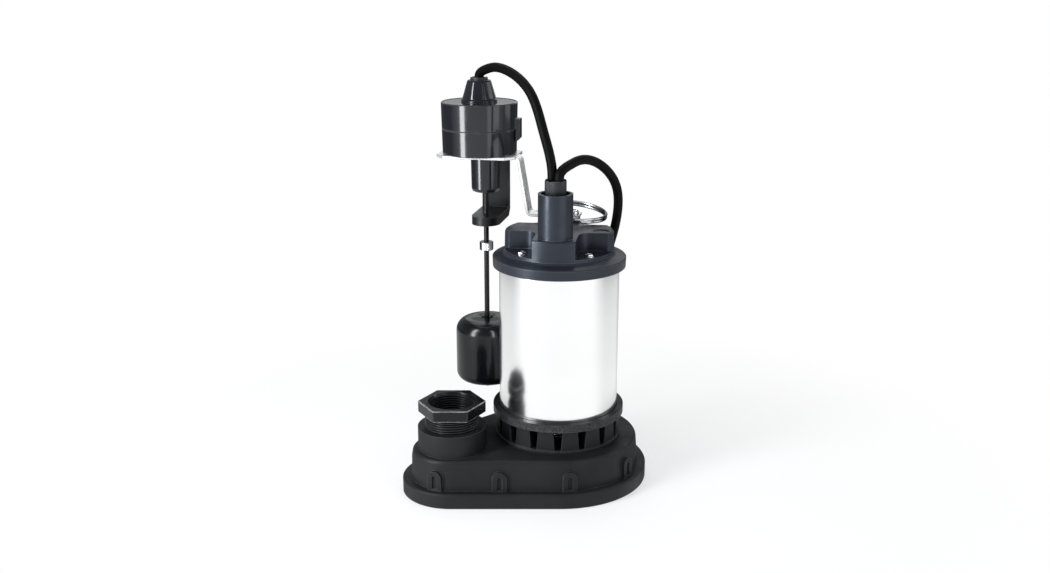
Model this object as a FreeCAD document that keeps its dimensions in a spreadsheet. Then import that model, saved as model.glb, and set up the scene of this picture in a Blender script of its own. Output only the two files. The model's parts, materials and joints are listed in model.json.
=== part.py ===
"""Submersible sump pump with a vertical float switch, as a parametric FreeCAD document, in millimetres.

Frame: +Z up, origin on the shaft axis at the underside of the base. The discharge points up at -X.
Every sub-part is one object of the document, bound to the cells of the sheet named dims.
"""
import FreeCAD
import Part
import math
import os
import Sketcher

os.makedirs("parts", exist_ok=True)
doc = FreeCAD.newDocument("SumpPump")
sheet = doc.addObject("Spreadsheet::Sheet", "dims")

# Driving dimensions: millimetres and degrees. Names ending in _z are heights above the ground.
DIMENSIONS = {
    # base
    "base_reach": 101.5, "skirt_radius": 80.9, "skirt_end_radius": 44.9, "skirt_z": 13.3,
    "wall_radius": 74.5, "wall_end_radius": 38.5, "wall_draft": 4.5, "deck_z": 40.0,
    "deck_under_z": 35.0, "deck_round": 3.5, "skirt_round": 2.0, "cavity_radius": 65.0,
    "cavity_end_radius": 30.0, "cover_radius": 74.0, "cover_end_radius": 38.0, "cover_thickness": 4.0,
    "gasket_thickness": 1.0, "volute_radius": 42.0, "volute_end_radius": 25.0, "volute_wall": 3.0,
    "eye_radius": 21.0, "boss_radius": 30.5, "boss_z": 60.0, "boss_floor_z": 38.0,
    "outlet_radius": 18.0, "arch_width": 12.8, "arch_z": 31.0, "arch_slot": 4.6, "arch_proud": 0.8,
    "arch_slot_depth": 1.6, "cover_screw_inset": 5.0, "cover_screw_radius": 2.0,
    "cover_screw_head_radius": 3.6, "cover_screw_top_z": 22.0, "cover_screw_sunk": 0.4,
    "cover_screw_head": 2.6, "flank_arch_along": 52.6, "arch_root": 2.7, "arch_slot_floor": 1.5,
    # discharge bushing
    "male_radius": 24.15, "female_radius": 19.4, "hex_flats": 52.3, "hex_z": 72.3,
    "bushing_top_z": 82.6, "mouth_chamfer": 1.7, "hex_turn": -20.8,
    # intake and lower housing
    "strainer_radius": 55.6, "strainer_inner_radius": 43.0, "strainer_foot_radius": 56.8,
    "strainer_foot": 2.2, "slot_top_width": 8.5, "slot_low_width": 5.5, "pillar_count": 16,
    "flange_radius": 59.15, "flange_low_z": 61.3, "flange_z": 68.3, "shell_groove_depth": 3.8,
    "shell_groove_radius": 53.7, "housing_screw_circle": 49.3, "housing_screw_radius": 2.0,
    "housing_screw_head_radius": 3.4, "housing_screw_head": 3.0, "housing_tap_z": 67.3,
    "spigot_radius": 51.9, "spigot_z": 78.0, "spigot_inner_radius": 46.0, "nose_z": 52.0,
    "nose_radius": 17.0, "seat_pocket_radius": 13.1, "seat_top_z": 58.0, "bolt_pad_z": 74.0,
    "bolt_pad_radius": 35.0, "bolt_tap_floor_z": 62.0, "housing_floor_z": 67.0, "hub_radius": 22.0,
    "lip_radius": 11.0, "lip_low_z": 62.2, "shaft_clearance": 0.6, "ring_groove": 3.0,
    "ring_groove_radius": 50.0, "low_ring_z": 72.0, "high_ring_z": 194.0,
    # shell and rings
    "shell_radius": 53.25, "shell_wall": 0.8, "shell_top_z": 201.0, "ring_section": 1.2,
    # shaft line
    "shaft_radius": 6.0, "fit_gap": 0.02, "rotor_radius": 28.0, "stator_bore": 28.5,
    "stator_radius": 49.9, "stack_low_z": 96.0, "stack_z": 150.0, "stator_slot_circle": 33.5,
    "stator_slot_radius": 3.0, "cage_circle": 24.5, "cage_bar_radius": 1.6, "bearing_radius": 16.0,
    "bearing_pitch_radius": 11.0, "ball_radius": 2.38, "ball_groove_radius": 2.42,
    "bearing_width": 10.0, "low_bearing_z": 75.0, "high_bearing_z": 183.0, "ball_count": 9,
    "impeller_radius": 39.0, "impeller_low_z": 14.0, "impeller_web": 3.0, "vane_z": 33.0,
    "vane_count": 6, "vane_thickness": 3.0, "vane_sweep": 62.0, "impeller_hub_radius": 10.0,
    "impeller_seat_radius": 5.0, "hub_low_z": 13.0, "hub_top_z": 34.0, "nut_thread_radius": 4.0,
    "nut_flats": 11.0, "shaft_low_z": 8.0, "shaft_top_z": 192.0, "rotor_seat_radius": 9.0,
    "race_offset": 2.1, "cage_bar_count": 18, "cage_inner_radius": 16.0, "cage_end": 6.0,
    "stator_slot_count": 16, "winding_half": 4.1, "winding_end": 12.0, "bracket_low_z": 172.0,
    "bracket_top_z": 189.8, "bracket_disc_radius": 52.25, "bracket_web_radius": 49.0,
    "bracket_web": 4.5, "seal_head_low_z": 45.5, "seal_head_radius": 11.0, "spring_radius": 8.6,
    "spring_wire": 0.6, "spring_pitch": 2.4, "capacitor_low_z": 196.0, "capacitor_radius": 17.0,
    "protector_length": 8.0, "protector_width": 18.0, "protector_tall": 6.0,
    # top cap, turned so that its front faces local -Y
    "cap_angle": -29.0, "cap_rim_radius": 59.0, "cap_rim_z": 197.8, "cap_shoulder_z": 206.3,
    "dome_foot_z": 209.0, "dome_radius": 48.4, "dome_z": 229.0, "dome_round": 1.6,
    "pocket_floor_z": 213.0, "block_half_width": 18.5, "wing_front": 9.0, "wing_back": 24.0,
    "wing_flat": 43.5, "pocket_corner_radius": 10.0, "bolt_circle": 41.0, "bolt_radius": 2.5,
    "bolt_hole_radius": 2.7, "bolt_head_radius": 4.6, "bolt_head": 2.4, "tower_offset": 31.4,
    "tower_radius": 15.0, "tower_z": 267.5, "tower_bore_radius": 12.6, "cap_floor_z": 207.0,
    "cap_recess_x": 36.5, "cap_recess_y": -0.5, "cap_recess_radius": 7.2, "cap_recess_depth": 0.8,
    "cap_well_radius": 20.0, "cap_roof_z": 223.0, "saddle_left": -17.0, "saddle_right": 14.0,
    "saddle_front": 34.5, "saddle_back": 45.0, "grommet_low_z": 232.0, "grommet_radius": 8.95,
    "tower_bore_floor_z": 258.0, "gland_bore_radius": 9.65, "gland_nut_radius": 9.6,
    "gland_nut_low_z": 250.0, "gland_nut_z": 279.0, "gland_nut_bore": 8.45,
    # cords
    "cord_radius": 4.15, "cord_spread": 4.25, "cord_spread_angle": 111.0, "cord_start_z": 212.0,
    "cord_into_switch": 8.0,
    # switch and bracket: along runs from the pump axis towards the switch, across runs to its side
    "switch_angle": 147.7, "rod_along": 77.0, "rod_across": 46.0, "case_along": 83.4,
    "case_across": 49.8, "case_low_z": 286.5, "case_seam_z": 309.5, "case_z": 333.5,
    "case_low_radius": 34.0, "case_radius": 35.0, "case_wall": 2.6, "case_boss_tall": 5.0,
    "case_tap_depth": 6.5, "lid_thickness": 2.4, "lid_seat_radius": 33.2, "gland_flange_radius": 16.5,
    "gland_foot": 3.0, "gland_low_radius": 15.5, "gland_top_radius": 10.8, "gland_z": 353.0,
    "collar_sunk": 6.0, "collar_nut_radius": 8.0, "collar_nut_z": 355.5, "neck_radius": 13.7,
    "neck_z": 251.5, "neck_round": 3.5, "neck_spigot_radius": 8.0, "side_lug_half": 5.5,
    "side_lug_out": 3.4, "side_lug_z": 319.0, "side_lug_low_z": 298.5, "side_lug_chamfer": 3.0,
    "post_along": 66.0, "post_across": 4.0, "post_radius": 1.3, "sheet_thickness": 2.5,
    "plate_half_length": 36.5, "plate_half_width": 25.0, "arm_width": 18.0, "arm_across": 43.0,
    "arm_top_along": 43.5, "arm_foot_along": 34.5, "foot_z": 232.0, "foot_end_along": -11.6,
    "bend_radius": 3.5, "plate_corner": 8.0, "bracket_screw_one": -6.7, "bracket_screw_two": 13.4,
    "bracket_screw_radius": 2.5, "bracket_hole_radius": 2.6, "bracket_head_radius": 4.1,
    "bracket_head": 4.8, "bracket_screw_across": 40.0, "bracket_screw_depth": 9.0,
    "mount_screw_reach": 28.0, "mount_screw_radius": 2.0, "mount_head_radius": 4.0, "mount_head": 2.6,
    "guide_width": 26.5, "guide_gap": 40.0, "guide_thickness": 4.2, "guide_heel": 6.0,
    "guide_flange_thickness": 2.5, "guide_low_z": 221.0, "guide_foot": 8.0,
    # float group
    "rod_radius": 2.35, "rod_low_z": 60.8, "rod_z": 290.5, "rod_hole_radius": 2.6, "float_radius": 29.5,
    "float_low_z": 68.8, "float_z": 130.0, "float_bore": 4.25, "float_top_round": 12.0,
    "float_low_round": 9.0, "stop_radius": 6.4, "stop_low_z": 196.0, "stop_z": 204.0,
    "end_stop_radius": 6.0, "end_stop_z": 68.6, "plunger_low_z": 289.9, "plunger_z": 294.7,
    "plunger_radius": 5.0,
    # microswitch
    "lever_pivot_back": 20.0, "lever_pivot_z": 301.3, "lever_tilt": 14.3, "lever_length": 23.0,
    "lever_width": 4.0, "lever_thickness": 0.8, "micro_low_z": 302.5, "micro_tall": 14.0,
    "micro_width": 10.0, "micro_length": 27.0, "button_back": 15.0, "button_radius": 1.2,
    "button_reach": 1.9, "button_bore_depth": 5.0, "ear_inner": 2.15, "ear_outer": 3.2,
    "ear_half_length": 1.6, "ear_drop": 2.4,
    # carry ring
    "ring_radius": 28.0, "ring_wire": 1.35, "ring_turn_gap": 2.6, "ring_x": 30.9, "ring_y": 36.4,
    "ring_z": 235.8, "ring_slope_x": -0.0917, "ring_slope_y": 0.1108, "lug_radius": 6.5,
    "lug_hole": 3.4, "lug_thickness": 4.0, "lug_neck_width": 11.05, "lug_neck_tall": 8.0,
    "ring_eye_angle": 196.2,
    # plug on the end of the power cord
    "plug_x": 55.6, "plug_y": 50.6, "plug_low_z": 62.0, "plug_z": 104.0, "plug_width": 27.0,
    "plug_depth": 21.0, "blade_length": 17.0, "blade_width": 6.3, "blade_thickness": 1.5,
    "blade_gap": 12.7, "ground_pin_radius": 2.423, "plug_round": 5.0, "plug_turn": -34.0,
    "ground_offset": 5.0,
}
# The cords' free runs, as points they pass through.
CORD_ROUTES = {
    "switch": [(-20.0, -11.2, 317.3), (-24.0, 5.5, 345.9), (-31.9, 37.9, 363.3), (-36.8, 58.0, 365.9),
               (-41.6, 78.5, 362.0)],
    "power": [(-0.9, -23.8, 290.1), (9.3, -18.2, 292.3), (39.0, -1.7, 283.3), (59.5, 9.7, 259.3),
              (63.3, 16.6, 233.0), (61.0, 31.0, 195.0), (57.5, 45.0, 150.0)],
}
for route_name, route in CORD_ROUTES.items():
    for index, point in enumerate(route):
        for axis, size in zip("xyz", point):
            DIMENSIONS[f"{route_name}_{index}_{axis}"] = size
for row_number, (alias, size) in enumerate(DIMENSIONS.items(), start=1):
    sheet.set(f"A{row_number}", alias)
    sheet.set(f"B{row_number}", str(size))
    sheet.setAlias(f"B{row_number}", alias)
doc.recompute()

SUBPARTS = {}
ZERO = 1e-9    # smallest length or volume that counts
NEAR = 1e-2    # how closely an edge must match when edges are picked
FULL_TURN = 360


def value(expression):
    """The number that an expression over the sheet's cells comes to."""
    result = sheet.evalExpression(expression)
    return float(getattr(result, "Value", result))


def subpart(name, shape_object):
    """Registers a finished object as the sub-part called name."""
    shape_object.Label = name
    SUBPARTS[name] = shape_object
    return shape_object


def place(shape_object, along_x="0", along_y="0", along_z="0", turn=None):
    """Binds an object's placement to expressions: a position and a turn about Z."""
    for axis, expression in zip("xyz", (along_x, along_y, along_z)):
        if expression != "0":
            shape_object.setExpression(f"Placement.Base.{axis}", expression)
    if turn is not None:
        shape_object.setExpression("Placement.Rotation.Angle", turn)
    return shape_object


# ---- sketches -------------------------------------------------------------------------------------

def sketch_on(body, role, name, height=None):
    """A sketch on one of the body's own origin planes, lifted along its normal by height."""
    sketch = body.newObject("Sketcher::SketchObject", name)
    plane = next(item for item in body.Origin.OriginFeatures if item.Role == role)
    sketch.AttachmentSupport = (plane, [""])
    sketch.MapMode = "FlatFace"
    if height is not None:
        sketch.setExpression("AttachmentOffset.Base.z", height)
    return sketch


def pin(sketch, geometry, vertex, across, up):
    """Holds one vertex at a place given by two expressions."""
    for kind, axis, expression in (("DistanceX", -2, across), ("DistanceY", -1, up)):
        size = value(expression)
        if abs(size) < ZERO:
            sketch.addConstraint(Sketcher.Constraint("PointOnObject", geometry, vertex, axis))
        else:
            index = sketch.addConstraint(Sketcher.Constraint(kind, -1, 1, geometry, vertex, size))
            sketch.setExpression(f"Constraints[{index}]", expression)


def outline(sketch, points):
    """A closed polyline through points, each a pair of expressions."""
    first = sketch.GeometryCount
    count = len(points)
    corners = [FreeCAD.Vector(value(across), value(up), 0) for across, up in points]
    for index in range(count):
        sketch.addGeometry(Part.LineSegment(corners[index], corners[(index + 1) % count]), False)
    for index in range(count):
        sketch.addConstraint(
            Sketcher.Constraint("Coincident", first + index, 2, first + (index + 1) % count, 1))
    for index, (across, up) in enumerate(points):
        pin(sketch, first + index, 1, across, up)


def circle(sketch, across, up, radius):
    """A circle whose centre and radius are expressions."""
    centre = FreeCAD.Vector(value(across), value(up), 0)
    index = sketch.addGeometry(Part.Circle(centre, FreeCAD.Vector(0, 0, 1), value(radius)), False)
    if abs(centre.x) < ZERO and abs(centre.y) < ZERO:
        sketch.addConstraint(Sketcher.Constraint("Coincident", index, 3, -1, 1))
    else:
        pin(sketch, index, 3, across, up)
    held = sketch.addConstraint(Sketcher.Constraint("Radius", index, value(radius)))
    sketch.setExpression(f"Constraints[{held}]", radius)


def egg(sketch, big, small):
    """The outline round the pump circle and the discharge circle, joined by tangent lines."""
    first = sketch.GeometryCount
    reach, large, little = value("dims.base_reach"), value(big), value(small)
    normal_angle = math.acos(-(large - little) / reach)
    up = FreeCAD.Vector(0, 0, 1)
    far = FreeCAD.Vector(-reach, 0, 0)
    normal = FreeCAD.Vector(math.cos(normal_angle), math.sin(normal_angle), 0)
    mirrored = FreeCAD.Vector(normal.x, -normal.y, 0)
    sketch.addGeometry(
        Part.ArcOfCircle(Part.Circle(FreeCAD.Vector(), up, large), -normal_angle, normal_angle), False)
    sketch.addGeometry(Part.LineSegment(normal * large, far + normal * little), False)
    sketch.addGeometry(
        Part.ArcOfCircle(Part.Circle(far, up, little), normal_angle, 2 * math.pi - normal_angle), False)
    sketch.addGeometry(Part.LineSegment(far + mirrored * little, mirrored * large), False)
    for index, vertex, other, other_vertex in ((0, 2, 1, 1), (1, 2, 2, 1), (2, 2, 3, 1), (3, 2, 0, 1)):
        sketch.addConstraint(
            Sketcher.Constraint("Tangent", first + index, vertex, first + other, other_vertex))
    sketch.addConstraint(Sketcher.Constraint("Coincident", first, 3, -1, 1))
    pin(sketch, first + 2, 3, "-dims.base_reach", "0")
    for index, radius in ((first, big), (first + 2, small)):
        held = sketch.addConstraint(Sketcher.Constraint("Radius", index, value(radius)))
        sketch.setExpression(f"Constraints[{held}]", radius)


# ---- features of a body ---------------------------------------------------------------------------

def new_body(name):
    """An empty body."""
    return doc.addObject("PartDesign::Body", name + "_body")


def pad(body, sketch, length, taper=None, reverse=False):
    """Adds material from the sketch along its normal."""
    feature = body.newObject("PartDesign::Pad", sketch.Name + "_pad")
    feature.Profile = sketch
    feature.setExpression("Length", length)
    feature.Reversed = reverse
    if taper is not None:
        feature.setExpression("TaperAngle", taper)
    doc.recompute()
    return feature


def pocket(body, sketch, depth, reverse=False):
    """Removes material from the sketch against its normal, and checks that it did cut."""
    before = body.Shape.Volume
    feature = body.newObject("PartDesign::Pocket", sketch.Name + "_pocket")
    feature.Profile = sketch
    feature.setExpression("Length", depth)
    feature.Reversed = reverse
    doc.recompute()
    if feature.Shape.Volume >= before - ZERO:
        raise RuntimeError(f"{feature.Name} cut nothing")
    return feature


def polar(body, feature, count):
    """Repeats a feature evenly round the body's Z axis."""
    axis = next(item for item in body.Origin.OriginFeatures if item.Role == "Z_Axis")
    pattern = body.newObject("PartDesign::PolarPattern", feature.Name + "_ring")
    pattern.Originals = [feature]
    pattern.Axis = (axis, [""])
    pattern.Angle = FULL_TURN
    pattern.setExpression("Occurrences", count)
    body.Tip = pattern
    doc.recompute()
    return pattern


def rounded(body, base, radius, chosen):
    """Rounds the edges of base for which chosen(edge) is true."""
    names = [f"Edge{index}" for index, edge in enumerate(base.Shape.Edges, start=1) if chosen(edge)]
    feature = body.newObject("PartDesign::Fillet", base.Name + "_round")
    feature.Base = (base, names)
    feature.setExpression("Radius", radius)
    doc.recompute()
    return feature


def level_edge(height):
    """A test for edges that lie flat at a height."""
    return lambda edge: abs(edge.BoundBox.ZMin - height) < NEAR and abs(edge.BoundBox.ZMax - height) < NEAR


def turned(name, points):
    """A body turned about Z from (radius, height) expressions walked round its section."""
    body = new_body(name)
    sketch = sketch_on(body, "XZ_Plane", name + "_section")
    outline(sketch, points)
    feature = body.newObject("PartDesign::Revolution", name + "_turn")
    feature.Profile = sketch
    feature.ReferenceAxis = (sketch, ["V_Axis"])
    feature.Angle = FULL_TURN
    doc.recompute()
    return body


def ring_section(inner, outer, low, high):
    """The four corners of a plain ring's section."""
    return [(inner, low), (outer, low), (outer, high), (inner, high)]


# ---- primitives -----------------------------------------------------------------------------------

def cylinder(name, radius, low, high, along_x="0", along_y="0"):
    """An upright cylinder between two heights."""
    shape = doc.addObject("Part::Cylinder", name)
    shape.setExpression("Radius", radius)
    shape.setExpression("Height", f"({high}) - ({low})")
    return place(shape, along_x, along_y, low)


def hexagon(name, flats, low, high):
    """An upright hexagonal prism, two of whose corners point along X."""
    shape = doc.addObject("Part::Prism", name)
    shape.Polygon = 6
    shape.setExpression("Circumradius", f"({flats}) / sqrt(3)")
    shape.setExpression("Height", f"({high}) - ({low})")
    return place(shape, "0", "0", low)


def sphere(name, radius, along_x, along_y, height):
    """A ball at a place."""
    shape = doc.addObject("Part::Sphere", name)
    shape.setExpression("Radius", radius)
    return place(shape, along_x, along_y, height)


def torus(name, ring_radius, section_radius, height):
    """A ring of round section about Z."""
    shape = doc.addObject("Part::Torus", name)
    shape.setExpression("Radius1", ring_radius)
    shape.setExpression("Radius2", section_radius)
    return place(shape, "0", "0", height)


def box(name, length, width, tall, along_x, along_y, along_z):
    """A box from its low corner."""
    shape = doc.addObject("Part::Box", name)
    for side, expression in (("Length", length), ("Width", width), ("Height", tall)):
        shape.setExpression(side, expression)
    return place(shape, along_x, along_y, along_z)


def cut(name, base, tool):
    """Base with the tool taken away."""
    shape = doc.addObject("Part::Cut", name)
    shape.Base = base
    shape.Tool = tool
    return shape


def fuse(name, parts):
    """Several touching objects as one."""
    shape = doc.addObject("Part::MultiFuse", name)
    shape.Shapes = parts
    shape.Refine = True
    return shape


def group(name, parts):
    """Several separate solids under one name."""
    shape = doc.addObject("Part::Compound", name)
    shape.Links = parts
    return shape


def on_circle(radius, angle):
    """The two expressions of a point on a circle about Z."""
    return f"({radius}) * cos({angle})", f"({radius}) * sin({angle})"


def in_switch_frame(along, across):
    """Row X and Y of a point given along and across the switch bracket."""
    turn = "dims.switch_angle"
    return (f"({along}) * cos({turn}) + ({across}) * sin({turn})",
            f"({along}) * sin({turn}) - ({across}) * cos({turn})")


def in_cap_frame(across, back):
    """Row X and Y of a point given in the turned frame of the top cap."""
    turn = "dims.cap_angle"
    return (f"({across}) * cos({turn}) - ({back}) * sin({turn})",
            f"({across}) * sin({turn}) + ({back}) * cos({turn})")


BOLT_PLACES = [on_circle("dims.bolt_circle", f"dims.cap_angle + {quarter}")
               for quarter in (45, 135, 225, 315)]
HOUSING_SCREW_PLACES = [
    on_circle("dims.housing_screw_circle", f"{pillar} * 360 / dims.pillar_count + 180 / dims.pillar_count")
    for pillar in (1, 4, 11, 14)]


# ---- base -----------------------------------------------------------------------------------------

def arch_places():
    """Where the arched bosses stand: (x, y, turn, reach) round the wall, reach being its radius there."""
    places = [("0", "0", turn, "dims.wall_radius") for turn in ("0", "56", "-56", "104", "-104")]
    places += [("-dims.base_reach", "0", turn, "dims.wall_end_radius") for turn in ("132", "-132")]
    side = "acos((dims.wall_end_radius - dims.wall_radius) / dims.base_reach)"
    along = "dims.flank_arch_along"
    places.append((f"-{along} * sin({side})", f"{along} * cos({side})", side, "dims.wall_radius"))
    places.append((f"-{along} * sin({side})", f"-{along} * cos({side})", f"-{side}", "dims.wall_radius"))
    return places


def arch(name, half_width, low, spring, start, depth, arch_place):
    """An arched block pointing outwards, from start over depth, on a boss place."""
    along_x, along_y, turn, reach = arch_place
    body = new_body(name)
    sketch = sketch_on(body, "YZ_Plane", name + "_face", f"{reach} + ({start})")
    half, low_z, spring_z = value(half_width), value(low), value(spring)
    corners = [FreeCAD.Vector(*corner, 0) for corner in
               ((-half, spring_z), (-half, low_z), (half, low_z), (half, spring_z))]
    for first, second in zip(corners, corners[1:]):
        sketch.addGeometry(Part.LineSegment(first, second), False)
    crown = Part.Circle(FreeCAD.Vector(0, spring_z, 0), FreeCAD.Vector(0, 0, 1), half)
    sketch.addGeometry(Part.ArcOfCircle(crown, 0, math.pi), False)
    for index in range(4):
        sketch.addConstraint(Sketcher.Constraint("Coincident", index, 2, (index + 1) % 4, 1))
    for index, (across, up) in enumerate(
            ((f"-{half_width}", spring), (f"-{half_width}", low), (half_width, low))):
        pin(sketch, index, 1, across, up)
    pin(sketch, 2, 2, half_width, spring)
    held = sketch.addConstraint(Sketcher.Constraint("DistanceY", -1, 1, 3, 3, spring_z))
    sketch.setExpression(f"Constraints[{held}]", spring)
    pad(body, sketch, depth)
    return place(body, along_x, along_y, "0", turn)


def cover_screw_place(arch_place):
    """Row X and Y of the cover screw inside an arched boss."""
    along_x, along_y, turn, reach = arch_place
    radius = f"({reach} - dims.cover_screw_inset)"
    return f"{along_x} + {radius} * cos({turn})", f"{along_y} + {radius} * sin({turn})"


def hole_sketch(body, name, height, places, radius):
    """A sketch of equal circles at a height."""
    sketch = sketch_on(body, "XY_Plane", name, height)
    for across, up in places:
        circle(sketch, across, up, radius)
    return sketch


def volute_base():
    """Skirted base: the volute chamber below, the deck and the discharge boss above."""
    body = new_body("base")
    sketch = sketch_on(body, "XY_Plane", "skirt")
    egg(sketch, "dims.skirt_radius", "dims.skirt_end_radius")
    skirt = pad(body, sketch, "dims.skirt_z")
    skirt = rounded(body, skirt, "dims.skirt_round", level_edge(value("dims.skirt_z")))
    sketch = sketch_on(body, "XY_Plane", "wall")
    egg(sketch, "dims.wall_radius", "dims.wall_end_radius")
    wall = pad(body, sketch, "dims.deck_z", taper="-dims.wall_draft")
    rounded(body, wall, "dims.deck_round", level_edge(value("dims.deck_z")))
    sketch = hole_sketch(body, "boss", "dims.boss_floor_z", [("-dims.base_reach", "0")], "dims.boss_radius")
    pad(body, sketch, "dims.boss_z - dims.boss_floor_z")
    sketch = sketch_on(body, "XY_Plane", "cavity", "dims.deck_under_z")
    egg(sketch, "dims.cavity_radius", "dims.cavity_end_radius")
    pocket(body, sketch, "dims.deck_under_z")
    sketch = sketch_on(body, "XY_Plane", "recess", "dims.cover_thickness + dims.gasket_thickness")
    egg(sketch, "dims.cover_radius", "dims.cover_end_radius")
    pocket(body, sketch, "dims.cover_thickness + dims.gasket_thickness")
    sketch = sketch_on(body, "XY_Plane", "volute", "dims.cover_thickness + dims.fit_gap")
    egg(sketch, "dims.volute_radius + dims.volute_wall", "dims.volute_end_radius + dims.volute_wall")
    egg(sketch, "dims.volute_radius", "dims.volute_end_radius")
    pad(body, sketch, "dims.deck_under_z - dims.cover_thickness - dims.fit_gap")
    sketch = hole_sketch(body, "eye", "dims.deck_z", [("0", "0")], "dims.eye_radius")
    pocket(body, sketch, "dims.deck_z - dims.deck_under_z")
    sketch = hole_sketch(body, "bore", "dims.boss_z", [("-dims.base_reach", "0")],
                         "dims.male_radius + dims.fit_gap")
    pocket(body, sketch, "dims.boss_z - dims.boss_floor_z")
    sketch = hole_sketch(body, "outlet", "dims.boss_floor_z", [("-dims.base_reach", "0")],
                         "dims.outlet_radius")
    pocket(body, sketch, "dims.boss_floor_z - dims.deck_under_z")
    sketch = hole_sketch(body, "deck_holes", "dims.deck_z", HOUSING_SCREW_PLACES,
                         "dims.housing_screw_radius + dims.fit_gap")
    pocket(body, sketch, "dims.deck_z - dims.deck_under_z")
    places = [cover_screw_place(arch_place) for arch_place in arch_places()]
    sketch = hole_sketch(body, "cover_holes", "dims.cover_screw_top_z", places,
                         "dims.cover_screw_radius + dims.fit_gap")
    pocket(body, sketch, "dims.cover_screw_top_z - dims.cover_thickness - dims.gasket_thickness")
    blanks = []
    slots = []
    for index, arch_place in enumerate(arch_places()):
        blanks.append(arch(f"arch_{index}", "dims.arch_width / 2", "dims.skirt_z - dims.skirt_round - 1",
                           "dims.arch_z - dims.arch_width / 2", "-dims.arch_root",
                           "dims.arch_root + dims.arch_proud", arch_place))
        slots.append(arch(f"slot_{index}", "dims.arch_slot / 2", "dims.skirt_z + dims.arch_slot_floor",
                          "dims.arch_z - dims.arch_width / 2", "dims.arch_proud - dims.arch_slot_depth",
                          "dims.arch_slot_depth + 1", arch_place))
    whole = fuse("base_with_arches", [body] + blanks)
    subpart("volute_base", cut("base_with_slots", whole, group("arch_slots", slots)))


def bottom_cover():
    """The plate that closes the volute, its gasket and its countersunk screws."""
    places = [cover_screw_place(arch_place) for arch_place in arch_places()]
    body = new_body("cover")
    sketch = sketch_on(body, "XY_Plane", "cover_plate")
    egg(sketch, "dims.cover_radius - dims.fit_gap", "dims.cover_end_radius - dims.fit_gap")
    pad(body, sketch, "dims.cover_thickness")
    sketch = hole_sketch(body, "cover_clear", "dims.cover_thickness", places,
                         "dims.cover_screw_radius + 5 * dims.fit_gap")
    pocket(body, sketch, "dims.cover_thickness")
    sketch = hole_sketch(body, "cover_sinks", "dims.cover_screw_head", places,
                         "dims.cover_screw_head_radius + 5 * dims.fit_gap")
    pocket(body, sketch, "dims.cover_screw_head")
    subpart("bottom_cover", body)

    body = new_body("gasket")
    sketch = sketch_on(body, "XY_Plane", "gasket_ring", "dims.cover_thickness")
    egg(sketch, "dims.cover_radius - dims.fit_gap", "dims.cover_end_radius - dims.fit_gap")
    egg(sketch, "dims.cavity_radius", "dims.cavity_end_radius")
    pad(body, sketch, "dims.gasket_thickness - dims.fit_gap")
    sketch = hole_sketch(body, "gasket_holes", "dims.cover_thickness + dims.gasket_thickness", places,
                         "dims.cover_screw_radius + dims.fit_gap")
    pocket(body, sketch, "dims.gasket_thickness")
    subpart("bottom_cover_gasket", body)

    screws = [screw(f"cover_screw_{index}", spot, "dims.cover_screw_head_radius", "dims.cover_screw_sunk",
                    "dims.cover_screw_head", "dims.cover_screw_radius", "dims.cover_screw_top_z - 1")
              for index, spot in enumerate(places)]
    subpart("bottom_cover_screws", group("cover_screw_group", screws))


def screw(name, spot, head_radius, head_low, head_high, shank_radius, shank_end):
    """A screw standing at spot: its head between two heights, its shank from the head to shank_end."""
    head = cylinder(name + "_head", head_radius, head_low, head_high, *spot)
    if value(shank_end) > value(head_high):
        shank = cylinder(name + "_shank", shank_radius, head_high, shank_end, *spot)
    else:
        shank = cylinder(name + "_shank", shank_radius, shank_end, head_low, *spot)
    return fuse(name, [head, shank])


def discharge_bushing():
    """Hexagon reducing bushing: male thread down into the boss, female thread open at the top."""
    head = hexagon("bushing_hex", "dims.hex_flats", "dims.hex_z", "dims.bushing_top_z")
    stem = cylinder("bushing_stem", "dims.male_radius", "dims.boss_floor_z + 1", "dims.hex_z")
    bore = cylinder("bushing_bore", "dims.female_radius", "dims.boss_floor_z", "dims.bushing_top_z + 1")
    mouth = doc.addObject("Part::Cone", "bushing_mouth")
    mouth.setExpression("Radius1", "dims.female_radius")
    mouth.setExpression("Radius2", "dims.female_radius + 2 * dims.mouth_chamfer")
    mouth.setExpression("Height", "2 * dims.mouth_chamfer")
    place(mouth, "0", "0", "dims.bushing_top_z - dims.mouth_chamfer")
    blank = fuse("bushing_blank", [head, stem])
    bored = cut("bushing_bored", blank, fuse("bushing_hollow", [bore, mouth]))
    place(bored, "-dims.base_reach", "0", "0", "dims.hex_turn")
    subpart("discharge_bushing", bored)


# ---- intake and lower housing ---------------------------------------------------------------------

def intake_strainer():
    """Ring of pillars between the deck and the motor housing, with slots that narrow downwards."""
    body = turned("strainer", [
        ("dims.strainer_inner_radius", "dims.deck_z"),
        ("dims.strainer_foot_radius", "dims.deck_z"),
        ("dims.strainer_foot_radius", "dims.deck_z + dims.strainer_foot"),
        ("dims.strainer_radius", "dims.deck_z + dims.strainer_foot + 0.6"),
        ("dims.strainer_radius", "dims.flange_low_z"),
        ("dims.strainer_inner_radius", "dims.flange_low_z")])
    sketch = sketch_on(body, "YZ_Plane", "strainer_slot")
    outline(sketch, [
        ("-dims.slot_low_width / 2", "dims.deck_z + dims.strainer_foot + 0.8"),
        ("dims.slot_low_width / 2", "dims.deck_z + dims.strainer_foot + 0.8"),
        ("dims.slot_top_width / 2", "dims.flange_low_z + 0.1"),
        ("-dims.slot_top_width / 2", "dims.flange_low_z + 0.1")])
    slot = pocket(body, sketch, "dims.strainer_foot_radius + 1", reverse=True)
    polar(body, slot, "dims.pillar_count")
    sketch = hole_sketch(body, "strainer_holes", "dims.flange_low_z", HOUSING_SCREW_PLACES,
                         "dims.housing_screw_radius + dims.fit_gap")
    body.Tip = pocket(body, sketch, "dims.flange_low_z - dims.deck_z")
    subpart("intake_strainer", body)


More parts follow.
